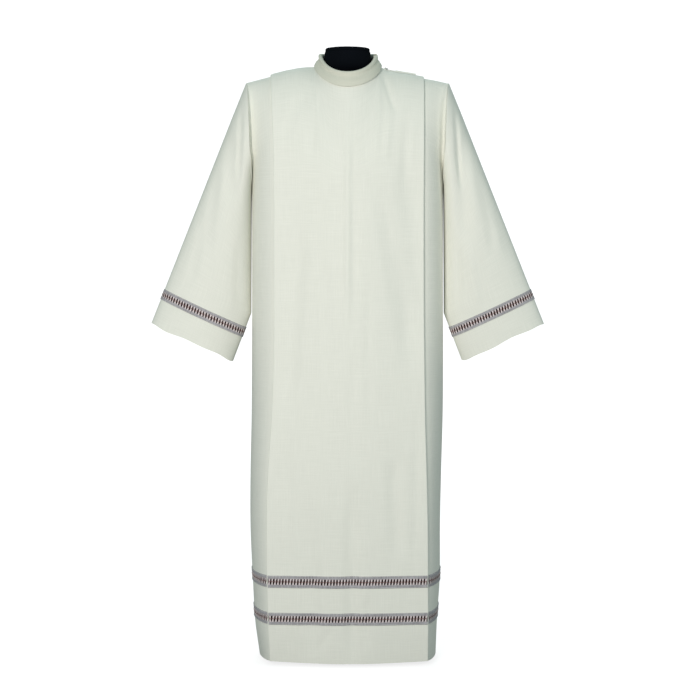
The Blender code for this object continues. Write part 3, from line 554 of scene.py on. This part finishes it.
def collarSection(turn):
    ahead = math.cos(turn)
    depth = neck["front"] if ahead > 0 else neck["back"]
    behind = max(-ahead, 0)
    ahead = max(ahead, 0)
    low = neck["z"] - neck["drop"] * ahead ** neck["curve"]
    point = np.array((neck["x"] * math.sin(turn), -depth * math.cos(turn), low))
    out = unit(np.array((point[0] / neck["x"] ** 2, point[1] / depth**2, 0)))
    height = collar["side"] + (collar["front"] - collar["side"]) * ahead ** collar["curve"]
    height += (collar["back"] - collar["side"]) * behind
    # the corner of the end behind the split is rounded off
    end = smooth(1 - (collar["split"] + 2 * math.pi - turn) / collar["corner"])
    height -= collar["cornerDrop"] * end**2
    fall = collar["fallSide"] + (collar["fallFront"] - collar["fallSide"]) * ahead
    hang = collar["out"] + collar["outRight"] * max(math.sin(turn), 0)  # it stands off the shoulder at the split
    lean = collar["lean"] + collar["leanLeft"] * max(-math.sin(turn), 0)
    roll, seamIn = collar["roll"], collar["seamIn"]
    top, half = height - roll, roll * math.sqrt(0.5)
    under = top - collar["hollowDrop"]
    marks = np.array((
        (-seamIn, collar["seam"]),
        (-seamIn + (-lean - roll + seamIn) * collar["standShare"], top / 2),
        (-lean - roll, top),
        (-lean - half, top + half),
        (-lean, height),
        (-lean + half, top + half),
        (-lean + roll, top),
        (-lean + roll - collar["hollow"], under),
        ((hang - lean + roll) / 2 + collar["bow"], (under + fall) / 2),
        (hang, fall),
    ))
    run = runLengths(marks[None], 1)[0]
    at = np.linspace(0, run[-1], collar["ring"])
    away, up = (curveThrough(at, run, marks[:, k]) for k in (0, 1))
    return point + away[:, None] * out + up[:, None] * np.array((0, 0, 1))


def makeCollar(name):
    first = collar["split"] + collar["splitGap"] / 2
    last = collar["split"] + 2 * math.pi - collar["splitGap"] / 2
    points = np.array([collarSection(turn) for turn in np.linspace(first, last, collar["turns"])])
    normals, reach = gridNormals(points, 1)
    around = runLengths(points[:, collar["lengthRow"]][:, None], 0)[:, 0]
    up = runLengths(points[collar["girthTurn"]][None], 1)[0]
    return makeSheet(name, *wallGrids(points, normals, reach), clothUv(up, around)[..., ::-1])


collarBand = makeCollar("collarBand")
print("collar made")


# Ladder trim: grey woven borders, a dark channel, pale bars and a thin middle thread

trim = {
    "wide": 0.0293, "border": 0.0075, "high": 0.0014, "low": 0.0006, "edge": 0.0009, "corner": 0.0005,
    "ribs": 9, "ribDeep": 0.00022, "ribGap": 0.0006, "lip": 0.0002, "lipShare": 0.8, "step": 0.0030,
    "upper": (0.192, 0.2213), "lower": (0.102, 0.131), "rows": 5,
}

bar = {
    "pitch": 0.0074, "rise": 0.0005, "slant": 0.0009, "lift": 0.0001, "lobe": 0.45, "lobeReach": 0.0078,
    "slantAt": 0.008, "lean": 0.16, "sizes": (0.9, 1.08),
    "half": ((0.0, 0.0010), (0.0018, 0.0015), (0.0042, 0.0019), (0.0066, 0.0022), (0.0082, 0.0026)),
    "section": ((-1.0, 0.1), (-0.7, 0.85), (0.0, 1.0), (0.7, 0.85), (1.0, 0.1), (0.0, 0.0)),
}

thread = {"lift": 0.0007, "radius": 0.0005, "wave": 0.0003, "sides": 6, "step": 0.0018, "end": 0.0004}

stitch = {"long": 0.0024, "pitch": 0.0034, "in": 0.0011, "thick": 0.00028, "lift": 0.0001,
          "ends": ((-1.0, 0.35), (-0.6, 1.0), (0.6, 1.0), (1.0, 0.35))}


def onBand(band, along, across, lift):
    # places on a band, by metres along it, metres up from its middle and metres off the cloth
    run = band["run"]
    column = np.clip(np.searchsorted(run, along) - 1, 0, len(run) - 2)
    a = np.clip((along - run[column]) / (run[column + 1] - run[column]), 0, 1)[..., None]
    rows = band["points"].shape[0]
    at = np.clip((across / band["width"] + 0.5) * (rows - 1), 0, rows - 1)
    row = np.minimum(at.astype(int), rows - 2)
    b = (at - row)[..., None]

    def mix(table):
        low = table[row, column] * (1 - a) + table[row, column + 1] * a
        high = table[row + 1, column] * (1 - a) + table[row + 1, column + 1] * a
        return low * (1 - b) + high * b

    return mix(band["points"]) + unit(mix(band["normals"])) * (cloth["seam"] + lift)[..., None]


def makeBand(name, points, normals, ring=False):
    if ring:
        points = np.concatenate((points, points[:, :1]), 1)
        normals = np.concatenate((normals, normals[:, :1]), 1)
    run = runLengths(points[points.shape[0] // 2][None], 1)[0]
    width = float(np.mean(np.linalg.norm(points[-1] - points[0], axis=1)))
    band = {"points": points, "normals": normals, "run": run, "width": width, "length": run[-1]}
    half, inside = width / 2, width / 2 - trim["border"] * width / trim["wide"]
    profile = [(-half, trim["edge"]), (-half + trim["corner"], trim["high"])]
    ribs = np.linspace(-half + trim["edge"], -inside - trim["ribGap"], trim["ribs"])
    profile += [(h, trim["high"] - (trim["ribDeep"] if k % 2 else 0)) for k, h in enumerate(ribs)]
    profile += [(-inside - trim["lip"], trim["high"] * trim["lipShare"]), (-inside, trim["low"])]
    profile += [(-h, lift) for h, lift in profile[::-1]]
    marks = np.linspace(0, run[-1], int(run[-1] / trim["step"]) + 1)
    along = marks[:-1] if ring else marks
    across, lifts = np.array(profile).T[..., None] + 0 * along
    inner = onBand(band, along + 0 * across, across, 0 * lifts)
    outer = onBand(band, along + 0 * across, across, lifts)
    rows, wide = len(profile), len(marks) - 1
    channel = np.zeros((rows - 1, wide), dtype=np.int32)
    channel[rows // 2 - 1] = 1
    rims = np.zeros(2 * wide + (0 if ring else 2 * (rows - 1)), dtype=np.int32)
    slots = np.concatenate((channel.ravel(), 0 * channel.ravel(), rims))
    band["piece"] = makeSheet(name, inner, outer, clothUv(marks, np.array(profile)[:, 0]), ring, slots)
    return band


def bandTubes(name, band, along, across, lift):
    # tubes of rings on a band: the last two axes of along are rings and sides
    rings, sides = along.shape[-2:]
    places = onBand(band, along.reshape(-1), (across + 0 * along).reshape(-1), (lift + 0 * along).reshape(-1))
    faces = []
    for first in range(0, len(places), rings * sides):
        faces += tubeFaces(first, rings, sides)
    return joinedMesh(name, places, faces)


def makeBars(name, band):
    # each bar is two lobes pinched at the middle, with a flat six-sided section
    count = int(round(band["length"] / bar["pitch"]))
    scale = band["width"] / trim["wide"]
    rings = []
    for height, half in [(-height, half) for height, half in bar["half"][:0:-1]] + list(bar["half"]):
        lobes = 1 - bar["lobe"] + bar["lobe"] * abs(math.sin(math.pi * min(abs(height) / bar["lobeReach"], 1)))
        low = trim["low"] + bar["lift"]
        rings.append([(x * half, height * scale, low + bar["rise"] * rise * lobes) for x, rise in bar["section"]])
    rings = np.array(rings)
    rings[..., 0] += bar["slant"] * rings[..., 1] / bar["slantAt"]
    starts = (np.arange(count) + 0.5) * band["length"] / count
    rng = np.random.default_rng(len(name) * 7 + count)
    lean = rng.uniform(-0.5, 0.5, count)[:, None, None] * bar["lean"]
    size = rng.uniform(*bar["sizes"], count)[:, None, None]
    along = starts[:, None, None] + rings[..., 0] * size + lean * rings[..., 1]
    return bandTubes(name, band, along, rings[..., 1], rings[..., 2])


def makeThread(name, band):
    # a thin round thread along the middle of a band
    count = int(band["length"] / thread["step"])
    along = np.linspace(thread["end"], band["length"] - thread["end"], count)[:, None]
    turns = np.arange(thread["sides"]) * 2 * math.pi / thread["sides"]
    across = thread["wave"] * np.sin(along / bar["pitch"] * 2 * math.pi) + thread["radius"] * np.cos(turns)
    lift = trim["low"] + thread["lift"] + thread["radius"] * np.sin(turns)
    return bandTubes(name, band, along + 0 * turns, across, lift)


def makeStitches(name, band):
    # a row of stitches along each edge, each a low four-sided grain
    count = int(band["length"] / stitch["pitch"])
    starts = (np.arange(count) + 0.5) * band["length"] / count
    ends, swell = np.array(stitch["ends"]).T[..., None]
    turns = np.arange(4) * math.pi / 2
    middles = np.array((-1, 1))[:, None, None, None] * (band["width"] / 2 - stitch["in"])
    along = starts[:, None, None] + ends * stitch["long"] / 2 + 0 * turns + 0 * middles
    across = middles + swell * stitch["thick"] * np.cos(turns)
    lift = trim["high"] + stitch["lift"] + swell * stitch["thick"] * np.sin(turns)
    return bandTubes(name, band, along, across, lift)


def skirtBands():
    stations, hands = front["stations"], front["hands"]
    onPanel = np.where((stations[:, 2] == 0) & (stations[:, 1] == 0))[0]
    bands = []
    for word in ("upper", "lower"):
        zs = np.linspace(*trim[word], trim["rows"])
        for faceWord, panel in (("Front", front), ("Back", back)):
            points, normals = rowsBetween(panel, panel["levels"], zs, onPanel)
            bands.append((makeBand(word + faceWord + "Trim", points, normals), f"trim_{word}_{faceWord.lower()}"))
        for hand, handWord in ((-1, "Left"), (1, "Right")):
            lastFlat = stations[:, 0] == pleat["flats"][-1][0]
            side = np.where((hands == hand) & ((stations[:, 1] > 0) | lastFlat))[0][::-hand]
            ahead, aheadWay = rowsBetween(front, front["levels"], zs, side)
            behind, behindWay = rowsBetween(back, back["levels"], zs, side)
            middle = (ahead[:, :1] + behind[:, :1]) / 2
            points = np.concatenate((ahead[:, :0:-1], middle, behind[:, 1:]), 1)
            normals = np.concatenate((aheadWay[:, :0:-1], aheadWay[:, :1], behindWay[:, 1:]), 1)
            node = f"trim_{word}_side_{handWord.lower()}"
            bands.append((makeBand(word + handWord + "Trim", points, normals), node))
    return bands


bands = skirtBands()
for word, made in (("left", leftSleeve), ("right", rightSleeve)):
    points, normals = rowsBetween(made, made["levels"], np.linspace(*sleeve["trim"], trim["rows"]))
    bands.append((makeBand(word + "SleeveTrim", points, normals, ring=True), "trim_sleeve_" + word))
sewn = []
for band, node in bands:
    name = band["piece"].name
    sewn.append((
        makeStitches(name.replace("Trim", "Stitches"), band),
        makeBars(name.replace("Trim", "Bars"), band),
        makeThread(name.replace("Trim", "Thread"), band),
    ))
print("trim made")


# Zip and welt on the photo's right shoulder

zipper = {
    "start": 0.0900, "end": 0.1690, "step": 0.002,
    "tapeHalf": 0.0070, "tapeSteps": 9, "tape": 0.0007, "tapeLift": 0.0004,
    "weltStart": 0.1180, "weltSteps": 21, "welt": 0.0014, "weltLift": 0.0005,
    "weltShape": ((-0.0095, 0.0), (-0.0076, 0.0014), (-0.0028, 0.0019),
                  (0.0028, 0.0019), (0.0076, 0.0014), (0.0095, 0.0)),
    "coilIn": 0.0098, "coilShort": 0.0010, "pitch": 0.0017, "wireSides": 5, "wire": 0.00032,
    "loopSteps": 10, "loopHalf": 0.0015, "loopLift": 0.0016, "loopRise": 0.0005, "wireSide": (0.0, 0.31, 0.95),
    "ridgeRows": 10,
}


def onShoulder(xs, y):
    # places on the right shoulder's outer cloth, by x and by metres behind the ridge
    stations, hands = front["stations"], front["hands"]
    shown = (stations[:, 1] == 0) & (stations[:, 2] == 0) & (stations[:, 0] >= neck["share"])
    columns = np.where((hands > 0) & shown)[0]
    at = front["outer"][-1, columns, 0]
    ridge = (front["outer"][-1, columns] + back["outer"][-1, columns]) / 2
    panel = front if y < 0 else back
    rows = np.concatenate((ridge[None], panel["outer"][-2:-2 - zipper["ridgeRows"]:-1, columns]))
    line = []
    for x in xs:
        path = np.array([[np.interp(x, at, row[:, k]) for k in range(3)] for row in rows])
        path[:, 0] = x
        line.append([np.interp(abs(y), np.abs(path[:, 1]), path[:, k]) for k in range(3)])
    return np.array(line)


def shoulderUp(xs):
    along = np.gradient(onShoulder(xs, 0.0), axis=0)
    return unit(np.stack((-along[:, 2], np.zeros(len(xs)), along[:, 0]), axis=1))


def shoulderStrip(name, start, end, shape, lift, thick):
    xs = np.linspace(start, end, int((end - start) / zipper["step"]))
    up = shoulderUp(xs)
    inner = np.array([onShoulder(xs, y) + up * (lift + rise) for y, rise in shape])
    return makeSheet(name, inner, inner + up * thick, clothUv(xs, np.array(shape)[:, 0]))


def smoothShape(marks, count):
    marks = np.array(marks)
    run = runLengths(marks[None], 1)[0]
    at = np.linspace(0, run[-1], count)
    return np.stack([np.interp(at, run, marks[:, k]) for k in (0, 1)], 1)


def makeCoil(name):
    # one wire: a flattened loop that crosses the tape once for each tooth
    start, end = zipper["start"] + zipper["coilIn"], zipper["weltStart"] - zipper["coilShort"]
    loops = int((end - start) / zipper["pitch"])
    at = np.linspace(0, loops, loops * zipper["loopSteps"])
    xs = start + at * zipper["pitch"]
    side = np.sin(2 * math.pi * at)[:, None] * np.array((0, zipper["loopHalf"], 0))
    rise = (zipper["loopLift"] + zipper["loopRise"] * np.cos(2 * math.pi * at))[:, None] * shoulderUp(xs)
    path = onShoulder(xs, 0.0) + side + rise
    way = unit(np.gradient(path, axis=0))
    first = unit(np.cross(way, zipper["wireSide"]))
    second = np.cross(way, first)
    turns = np.arange(zipper["wireSides"])[:, None] * 2 * math.pi / zipper["wireSides"]
    places = path[:, None] + zipper["wire"] * (first[:, None] * np.cos(turns) + second[:, None] * np.sin(turns))
    return joinedMesh(name, places.reshape(-1, 3), tubeFaces(0, len(path), zipper["wireSides"]))


tapeShape = [(y, 0.0) for y in np.linspace(-zipper["tapeHalf"], zipper["tapeHalf"], zipper["tapeSteps"])]
weltShape = smoothShape(zipper["weltShape"], zipper["weltSteps"])
zipTape = shoulderStrip("zipTape", zipper["start"], zipper["end"], tapeShape, zipper["tapeLift"], zipper["tape"])
shoulderWelt = shoulderStrip(
    "shoulderWelt", zipper["weltStart"], zipper["end"], weltShape, zipper["weltLift"], zipper["welt"]
)
zipCoil = makeCoil("zipCoil")
print("zip made")


# Pieces worked from copies of the solids: the zip's slider and the dress form

worked = {"weld": 1e-6, "faceTurn": 12, "shapeTurn": 60, "smoothTurn": 40}


def workedCopy(node, name, bevel, segments=2, levels=0, angle=60):
    # a copy of a solid's mesh with rounded edges and, where levels says so, a finer surface
    deselect()
    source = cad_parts[node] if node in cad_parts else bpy.data.objects[node]
    piece = source.copy()
    piece.data = source.data.copy()
    piece.name = name
    piece.data.name = name
    for key in list(piece.keys()):
        del piece[key]
    bpy.context.scene.collection.objects.link(piece)
    piece.hide_render = piece.hide_viewport = False
    piece.parent = None
    bpy.context.view_layer.objects.active = piece
    piece.select_set(True)
    bpy.ops.object.mode_set(mode="EDIT")
    bpy.ops.mesh.select_all(action="SELECT")
    bpy.ops.mesh.remove_doubles(threshold=worked["weld"])
    bpy.ops.mesh.tris_convert_to_quads(
        face_threshold=math.radians(worked["faceTurn"]), shape_threshold=math.radians(worked["shapeTurn"])
    )
    bpy.ops.object.mode_set(mode="OBJECT")
    rounded = piece.modifiers.new("rounded", "BEVEL")
    rounded.width = bevel
    rounded.segments = segments
    rounded.angle_limit = math.radians(angle)
    bpy.ops.object.modifier_apply(modifier="rounded")
    if levels:
        finer = piece.modifiers.new("finer", "SUBSURF")
        finer.levels = finer.render_levels = levels
        bpy.ops.object.modifier_apply(modifier="finer")
    bpy.ops.object.shade_smooth_by_angle(angle=math.radians(worked["smoothTurn"]))
    deselect()
    return piece


slider = workedCopy("zip_slider", "zipSlider", bevel=0.0005, segments=3, angle=35)
formBody = workedCopy("form_body", "formBody", bevel=0.0010, levels=1, angle=50)
formCap = workedCopy("form_cap", "formCap", bevel=0.0006, levels=1)
formPole = workedCopy("form_pole", "formPole", bevel=0.0004)
formBase = workedCopy("form_base", "formBase", bevel=0.0006, segments=3, angle=30)
print("form made")


# Materials

weave = {
    "over": 0.35, "each": 0.3, "slubScales": ((620, 16, 1), (16, 620, 1)), "slubPower": 2.0, "slubRelief": 1.2,
    "rough": 0.86, "reach": 0.0004, "specular": 0.25, "sheenRough": 0.4,
}
grain = {"fine": 0.65, "broad": 0.35, "contrast": 2.4, "fineDetail": 3.0, "reach": 0.0002}


def setInputs(tree, node, inputs):
    # each input takes a value or a link from another node's output
    for label, value in inputs.items():
        if isinstance(value, bpy.types.NodeSocket):
            tree.links.new(value, node.inputs[label])
        else:
            node.inputs[label].default_value = value


def addNode(tree, kind, inputs, **settings):
    node = tree.nodes.new("ShaderNode" + kind)
    for key, value in settings.items():
        setattr(node, key, value)
    setInputs(tree, node, inputs)
    return node


def newMaterial(name, colour, roughness, metallic=0.0):
    material = bpy.data.materials.new(name)
    material.use_nodes = True
    material.diffuse_color = (*colour, 1)
    tree = material.node_tree
    shader = tree.nodes["Principled BSDF"]
    setInputs(tree, shader, {"Base Color": (*colour, 1), "Roughness": roughness, "Metallic": metallic})
    return material, tree, shader


def newGroup(name, inputs, outputs):
    group = bpy.data.node_groups.new(name, "ShaderNodeTree")
    for label, kind, value in inputs:
        socket = group.interface.new_socket(label, in_out="INPUT", socket_type=kind)
        if value is not None:
            socket.default_value = value
    for label, kind in outputs:
        group.interface.new_socket(label, in_out="OUTPUT", socket_type=kind)
    return group, group.nodes.new("NodeGroupInput"), group.nodes.new("NodeGroupOutput")


def addMath(tree, operation, *values):
    return addNode(tree, "Math", dict(enumerate(values)), operation=operation).outputs[0]


def addNoise(tree, vector, scale, detail=2.0):
    return addNode(tree, "TexNoise", {"Vector": vector, "Scale": scale, "Detail": detail}).outputs["Fac"]


def addStretch(tree, vector, scale):
    return addNode(tree, "Mapping", {"Vector": vector, "Scale": scale}).outputs["Vector"]


def weaveGroup():
    # plain weave with slubs: shade is 0.5 on average, height is the thread relief
    group, entry, leave = newGroup(
        "plainWeave",
        (("Vector", "NodeSocketVector", None), ("Threads", "NodeSocketFloat", 900.0), ("Slub", "NodeSocketFloat", 1.0)),
        (("Shade", "NodeSocketFloat"), ("Height", "NodeSocketFloat")),
    )
    split = addNode(group, "SeparateXYZ", {"Vector": entry.outputs["Vector"]})
    waves = []
    for socket in split.outputs[:2]:
        turn = addMath(group, "MULTIPLY", addMath(group, "MULTIPLY", socket, entry.outputs["Threads"]), math.pi)
        waves.append(addMath(group, "SINE", turn))
    over = addMath(group, "MULTIPLY", *waves)
    both = addMath(group, "ADD", *[addMath(group, "ABSOLUTE", wave) for wave in waves])
    threads = addMath(group, "MULTIPLY_ADD", over, weave["over"], addMath(group, "MULTIPLY", both, weave["each"]))
    slubs = [addNoise(group, addStretch(group, entry.outputs["Vector"], scale), 1.0) for scale in weave["slubScales"]]
    slub = addMath(group, "ADD", *[addMath(group, "POWER", noise, weave["slubPower"]) for noise in slubs])
    slub = addMath(group, "MULTIPLY", addMath(group, "SUBTRACT", slub, 0.5), entry.outputs["Slub"])
    height = addMath(group, "MULTIPLY_ADD", slub, weave["slubRelief"], threads)
    setInputs(group, leave, {"Shade": addMath(group, "ADD", 0.5, slub), "Height": height})
    return group


def grainGroup():
    # fine mottling over a broad one for what isn't woven: shade is 0.5 on average
    group, entry, leave = newGroup(
        "fineGrain",
        (("Vector", "NodeSocketVector", None), ("Fine", "NodeSocketFloat", 900.0), ("Broad", "NodeSocketFloat", 40.0)),
        (("Shade", "NodeSocketFloat"), ("Height", "NodeSocketFloat")),
    )
    fine = addNoise(group, entry.outputs["Vector"], entry.outputs["Fine"], grain["fineDetail"])
    broad = addNoise(group, entry.outputs["Vector"], entry.outputs["Broad"])
    shade = addMath(group, "MULTIPLY_ADD", fine, grain["fine"], addMath(group, "MULTIPLY", broad, grain["broad"]))
    shade = addMath(group, "MULTIPLY_ADD", addMath(group, "SUBTRACT", shade, 0.5), grain["contrast"], 0.5)
    setInputs(group, leave, {"Shade": shade, "Height": fine})
    return group


def groupMaterial(name, group, values, colour, deep, rough, bump, reach, specular, metallic=0.0):
    # colour between deep and colour by the group's shade, relief by its height
    material, tree, shader = newMaterial(name, colour, rough, metallic)
    made = addNode(tree, "Group", values, node_tree=group)
    shades = {"A": (*deep, 1), "B": (*colour, 1), "Factor": made.outputs["Shade"]}
    mix = addNode(tree, "Mix", shades, data_type="RGBA")
    relief = addNode(tree, "Bump", {"Strength": bump, "Distance": reach, "Height": made.outputs["Height"]})
    looks = {"Base Color": mix.outputs["Result"], "Normal": relief.outputs["Normal"], "Specular IOR Level": specular}
    setInputs(tree, shader, looks)
    return material, tree, shader, made


def clothMaterial(name, colour, deep, threads, slub, bump, sheen):
    values = {"Threads": threads, "Slub": slub}
    material, tree, shader, fabric = groupMaterial(
        name, plainWeave, values, colour, deep, weave["rough"], bump, weave["reach"], weave["specular"]
    )
    place = addNode(tree, "UVMap", {}, uv_map="cloth")
    setInputs(tree, fabric, {"Vector": place.outputs["UV"]})
    setInputs(tree, shader, {"Sheen Weight": sheen, "Sheen Roughness": weave["sheenRough"]})
    return material


def grainMaterial(name, colour, deep, rough, fine, broad, bump, specular, metallic=0.0, stretch=(1, 1, 1)):
    values = {"Fine": fine, "Broad": broad}
    material, tree, shader, mottle = groupMaterial(
        name, fineGrain, values, colour, deep, rough[1], bump, grain["reach"], specular, metallic
    )
    place = addNode(tree, "TexCoord", {})
    setInputs(tree, mottle, {"Vector": addStretch(tree, place.outputs["Object"], stretch)})
    roughness = addMath(tree, "MULTIPLY_ADD", mottle.outputs["Shade"], rough[1] - rough[0], rough[0])
    setInputs(tree, shader, {"Roughness": roughness})
    return material


plainWeave = weaveGroup()
fineGrain = grainGroup()
# cloths: colour, deeper colour, threads a metre, slub, bump, sheen
ivoryCloth = clothMaterial("ivoryWoolBlend", (0.87, 0.87, 0.795), (0.765, 0.77, 0.695), 1100, 0.9, 0.25, 0.03)
# the collar is the same ivory cloth made darker and warmer: painted shade on the collar
collarClothPaintedShade = clothMaterial("ivoryCollarCloth", (0.72, 0.715, 0.615), (0.62, 0.62, 0.52), 1100, 0.9, 0.25, 0.03)
greyBorder = clothMaterial("greyGalloon", (0.56, 0.54, 0.57), (0.22, 0.21, 0.225), 700, 1.6, 0.6, 0.05)
ladderGround = clothMaterial("ladderGround", (0.030, 0.016, 0.018), (0.012, 0.006, 0.008), 700, 0.5, 0.4, 0.0)
# others: colour, deeper colour, least and most roughness, fine and broad grain, bump, specular
barThread = grainMaterial("barThread", (0.86, 0.78, 0.78), (0.56, 0.46, 0.46), (0.6, 0.8), 2200, 90, 0.6, 0.3)
middleThread = grainMaterial("middleThread", (0.36, 0.18, 0.16), (0.16, 0.07, 0.06), (0.6, 0.8), 2200, 90, 0.6, 0.3)
sewingThread = grainMaterial("sewingThread", (0.84, 0.84, 0.77), (0.70, 0.70, 0.63), (0.5, 0.7), 2600, 60, 0.4, 0.3)
zipNylon = grainMaterial("zipNylon", (0.72, 0.72, 0.68), (0.58, 0.58, 0.54), (0.35, 0.5), 1800, 60, 0.2, 0.5)
zipMetal = grainMaterial(
    "zipMetal", (0.80, 0.80, 0.78), (0.62, 0.62, 0.60), (0.35, 0.5), 1500, 80, 0.3, 0.5,
    metallic=0.8, stretch=(0.15, 1, 1),
)
blackForm = grainMaterial(
    "blackForm", (0.0035, 0.0050, 0.0080), (0.0012, 0.0018, 0.0030), (0.8, 0.95), 1400, 14, 0.4, 0.06
)
darkSteel = grainMaterial("darkSteel", (0.055, 0.057, 0.060), (0.030, 0.031, 0.033), (0.35, 0.5), 700, 9, 0.25, 0.5)


def dress(piece, materials, node):
    piece.data.materials.clear()
    for material in materials:
        piece.data.materials.append(material)
    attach(piece, "root")
    if node:
        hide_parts(node)


for piece, material, node, slot in (
    (front["piece"], ivoryCloth, "front", "ivory_cloth"),
    (back["piece"], ivoryCloth, "back", "ivory_cloth"),
    (leftSleeve["piece"], ivoryCloth, "sleeve_left", "ivory_cloth"),
    (rightSleeve["piece"], ivoryCloth, "sleeve_right", "ivory_cloth"),
    (collarBand, collarClothPaintedShade, "collar", "ivory_cloth"),
    (shoulderWelt, ivoryCloth, "shoulder_welt", "ivory_cloth"),
    (zipTape, ivoryCloth, "zip_tape", "ivory_cloth"),
    (zipCoil, zipNylon, "zip_coil", "zip_nylon"),
    (slider, zipMetal, "zip_slider", "zip_metal"),
    (formBody, blackForm, "form_body", "black_form"),
    (formCap, blackForm, "form_cap", "black_form"),
    (formPole, darkSteel, "form_pole", "dark_steel"),
    (formBase, darkSteel, "form_base", "dark_steel"),
):
    dress(piece, [material], node)
for (band, node), (stitches, bars, middle) in zip(bands, sewn):
    faces = band["piece"].data.polygons
    slots = np.zeros(len(faces), dtype=np.int32)
    faces.foreach_get("material_index", slots)
    dress(band["piece"], [greyBorder, ladderGround], node)
    faces.foreach_set("material_index", slots)
    for piece, material in ((bars, barThread), (middle, middleThread), (stitches, sewingThread)):
        dress(piece, [material], None)
print("materials made")


# Floor, backdrop, lights and camera

studio = {
    "paperFront": 6.0, "paperBack": 5.5, "paperHalf": 8.0, "rise": 5.0, "bend": 1.6, "bendSteps": 48,
    "paper": (0.30, 0.30, 0.30), "paperRough": 0.9, "glow": (0.8, 5.0, 0.82, 0.99),
    "air": (0.67, 0.98, 1.0, 1), "airStrength": 0.29,
    "camera": (0.0061, -4.3449, 0.9998), "lens": 89.85, "sensor": 36, "tilt": 1.764, "shift": -0.06,
}


def makeBackdrop():
    deselect()
    bpy.ops.mesh.primitive_grid_add(x_subdivisions=2, y_subdivisions=studio["bendSteps"], size=1)
    sweep = bpy.context.object
    sweep.name = "paperSweep"
    bend, flat, quarter = studio["bend"], studio["paperFront"] + studio["paperBack"], studio["bend"] * math.pi / 2
    for vert in sweep.data.vertices:
        run = (vert.co.y + 0.5) * (flat + quarter + studio["rise"]) - flat
        x = vert.co.x * 2 * studio["paperHalf"]
        turn = min(max(run / bend, 0), math.pi / 2)
        y = studio["paperBack"] + min(run, 0) + bend * math.sin(turn)
        vert.co = (x, y, bend * (1 - math.cos(turn)) + max(run - quarter, 0))
    bpy.ops.object.shade_smooth()
    material, tree, shader = newMaterial("studioPaper", studio["paper"], studio["paperRough"])
    place = addNode(tree, "TexCoord", {})
    split = addNode(tree, "SeparateXYZ", {"Vector": place.outputs["Object"]})
    span = dict(zip(("From Min", "From Max", "To Min", "To Max"), studio["glow"]))
    glow = addNode(tree, "MapRange", {"Value": split.outputs["Y"], **span})
    light = {"Emission Color": (1, 1, 1, 1), "Emission Strength": glow.outputs["Result"]}
    setInputs(tree, shader, {"Specular IOR Level": 0.0, **light})
    sweep.data.materials.append(material)
    lit = bpy.data.collections.new("litByPaper")  # the paper glows but throws no light on the robe
    lit.objects.link(sweep)
    sweep.light_linking.receiver_collection = lit


def addLight(name, place, aim, size, power, colour):
    data = bpy.data.lights.new(name, "AREA")
    data.shape = "RECTANGLE"
    data.size, data.size_y = size
    data.energy = power
    data.color = colour
    lamp = bpy.data.objects.new(name, data)
    bpy.context.scene.collection.objects.link(lamp)
    lamp.location = place
    way = unit(np.array(aim) - np.array(place))
    lamp.rotation_euler = (math.acos(-way[2]), 0, math.atan2(way[1], way[0]) - math.pi / 2)


makeBackdrop()
addLight("keyLight", (-1.0, -2.95, 1.4), (0.0, 0.0, 1.1), (0.9, 0.9), 62, (1.0, 0.945, 0.915))
addLight("rightFill", (2.3, -1.5, 1.6), (0.0, 0.0, 1.0), (0.9, 0.9), 16, (1.0, 0.98, 0.95))
addLight("topLight", (0.0, 0.2, 3.4), (0.0, 0.0, 1.0), (2.4, 1.6), 3, (0.88, 1.0, 0.98))
addLight("backLight", (0.0, 2.8, 3.8), (0.0, 0.0, 0.9), (1.6, 1.6), 60, (0.92, 1.0, 1.0))

world = bpy.data.worlds.new("studioAir")
world.use_nodes = True
air = {"Color": studio["air"], "Strength": studio["airStrength"]}
setInputs(world.node_tree, world.node_tree.nodes["Background"], air)
bpy.context.scene.world = world
bpy.context.scene.view_settings.view_transform = "Standard"

eye = bpy.data.cameras.new("eye")
eye.lens = studio["lens"]
eye.sensor_width = studio["sensor"]
eye.shift_y = studio["shift"]
camera = bpy.data.objects.new("eye", eye)
camera.location = studio["camera"]
camera.rotation_euler = (math.radians(90 - studio["tilt"]), 0, 0)
bpy.context.scene.collection.objects.link(camera)
bpy.context.scene.camera = camera
print("studio made")
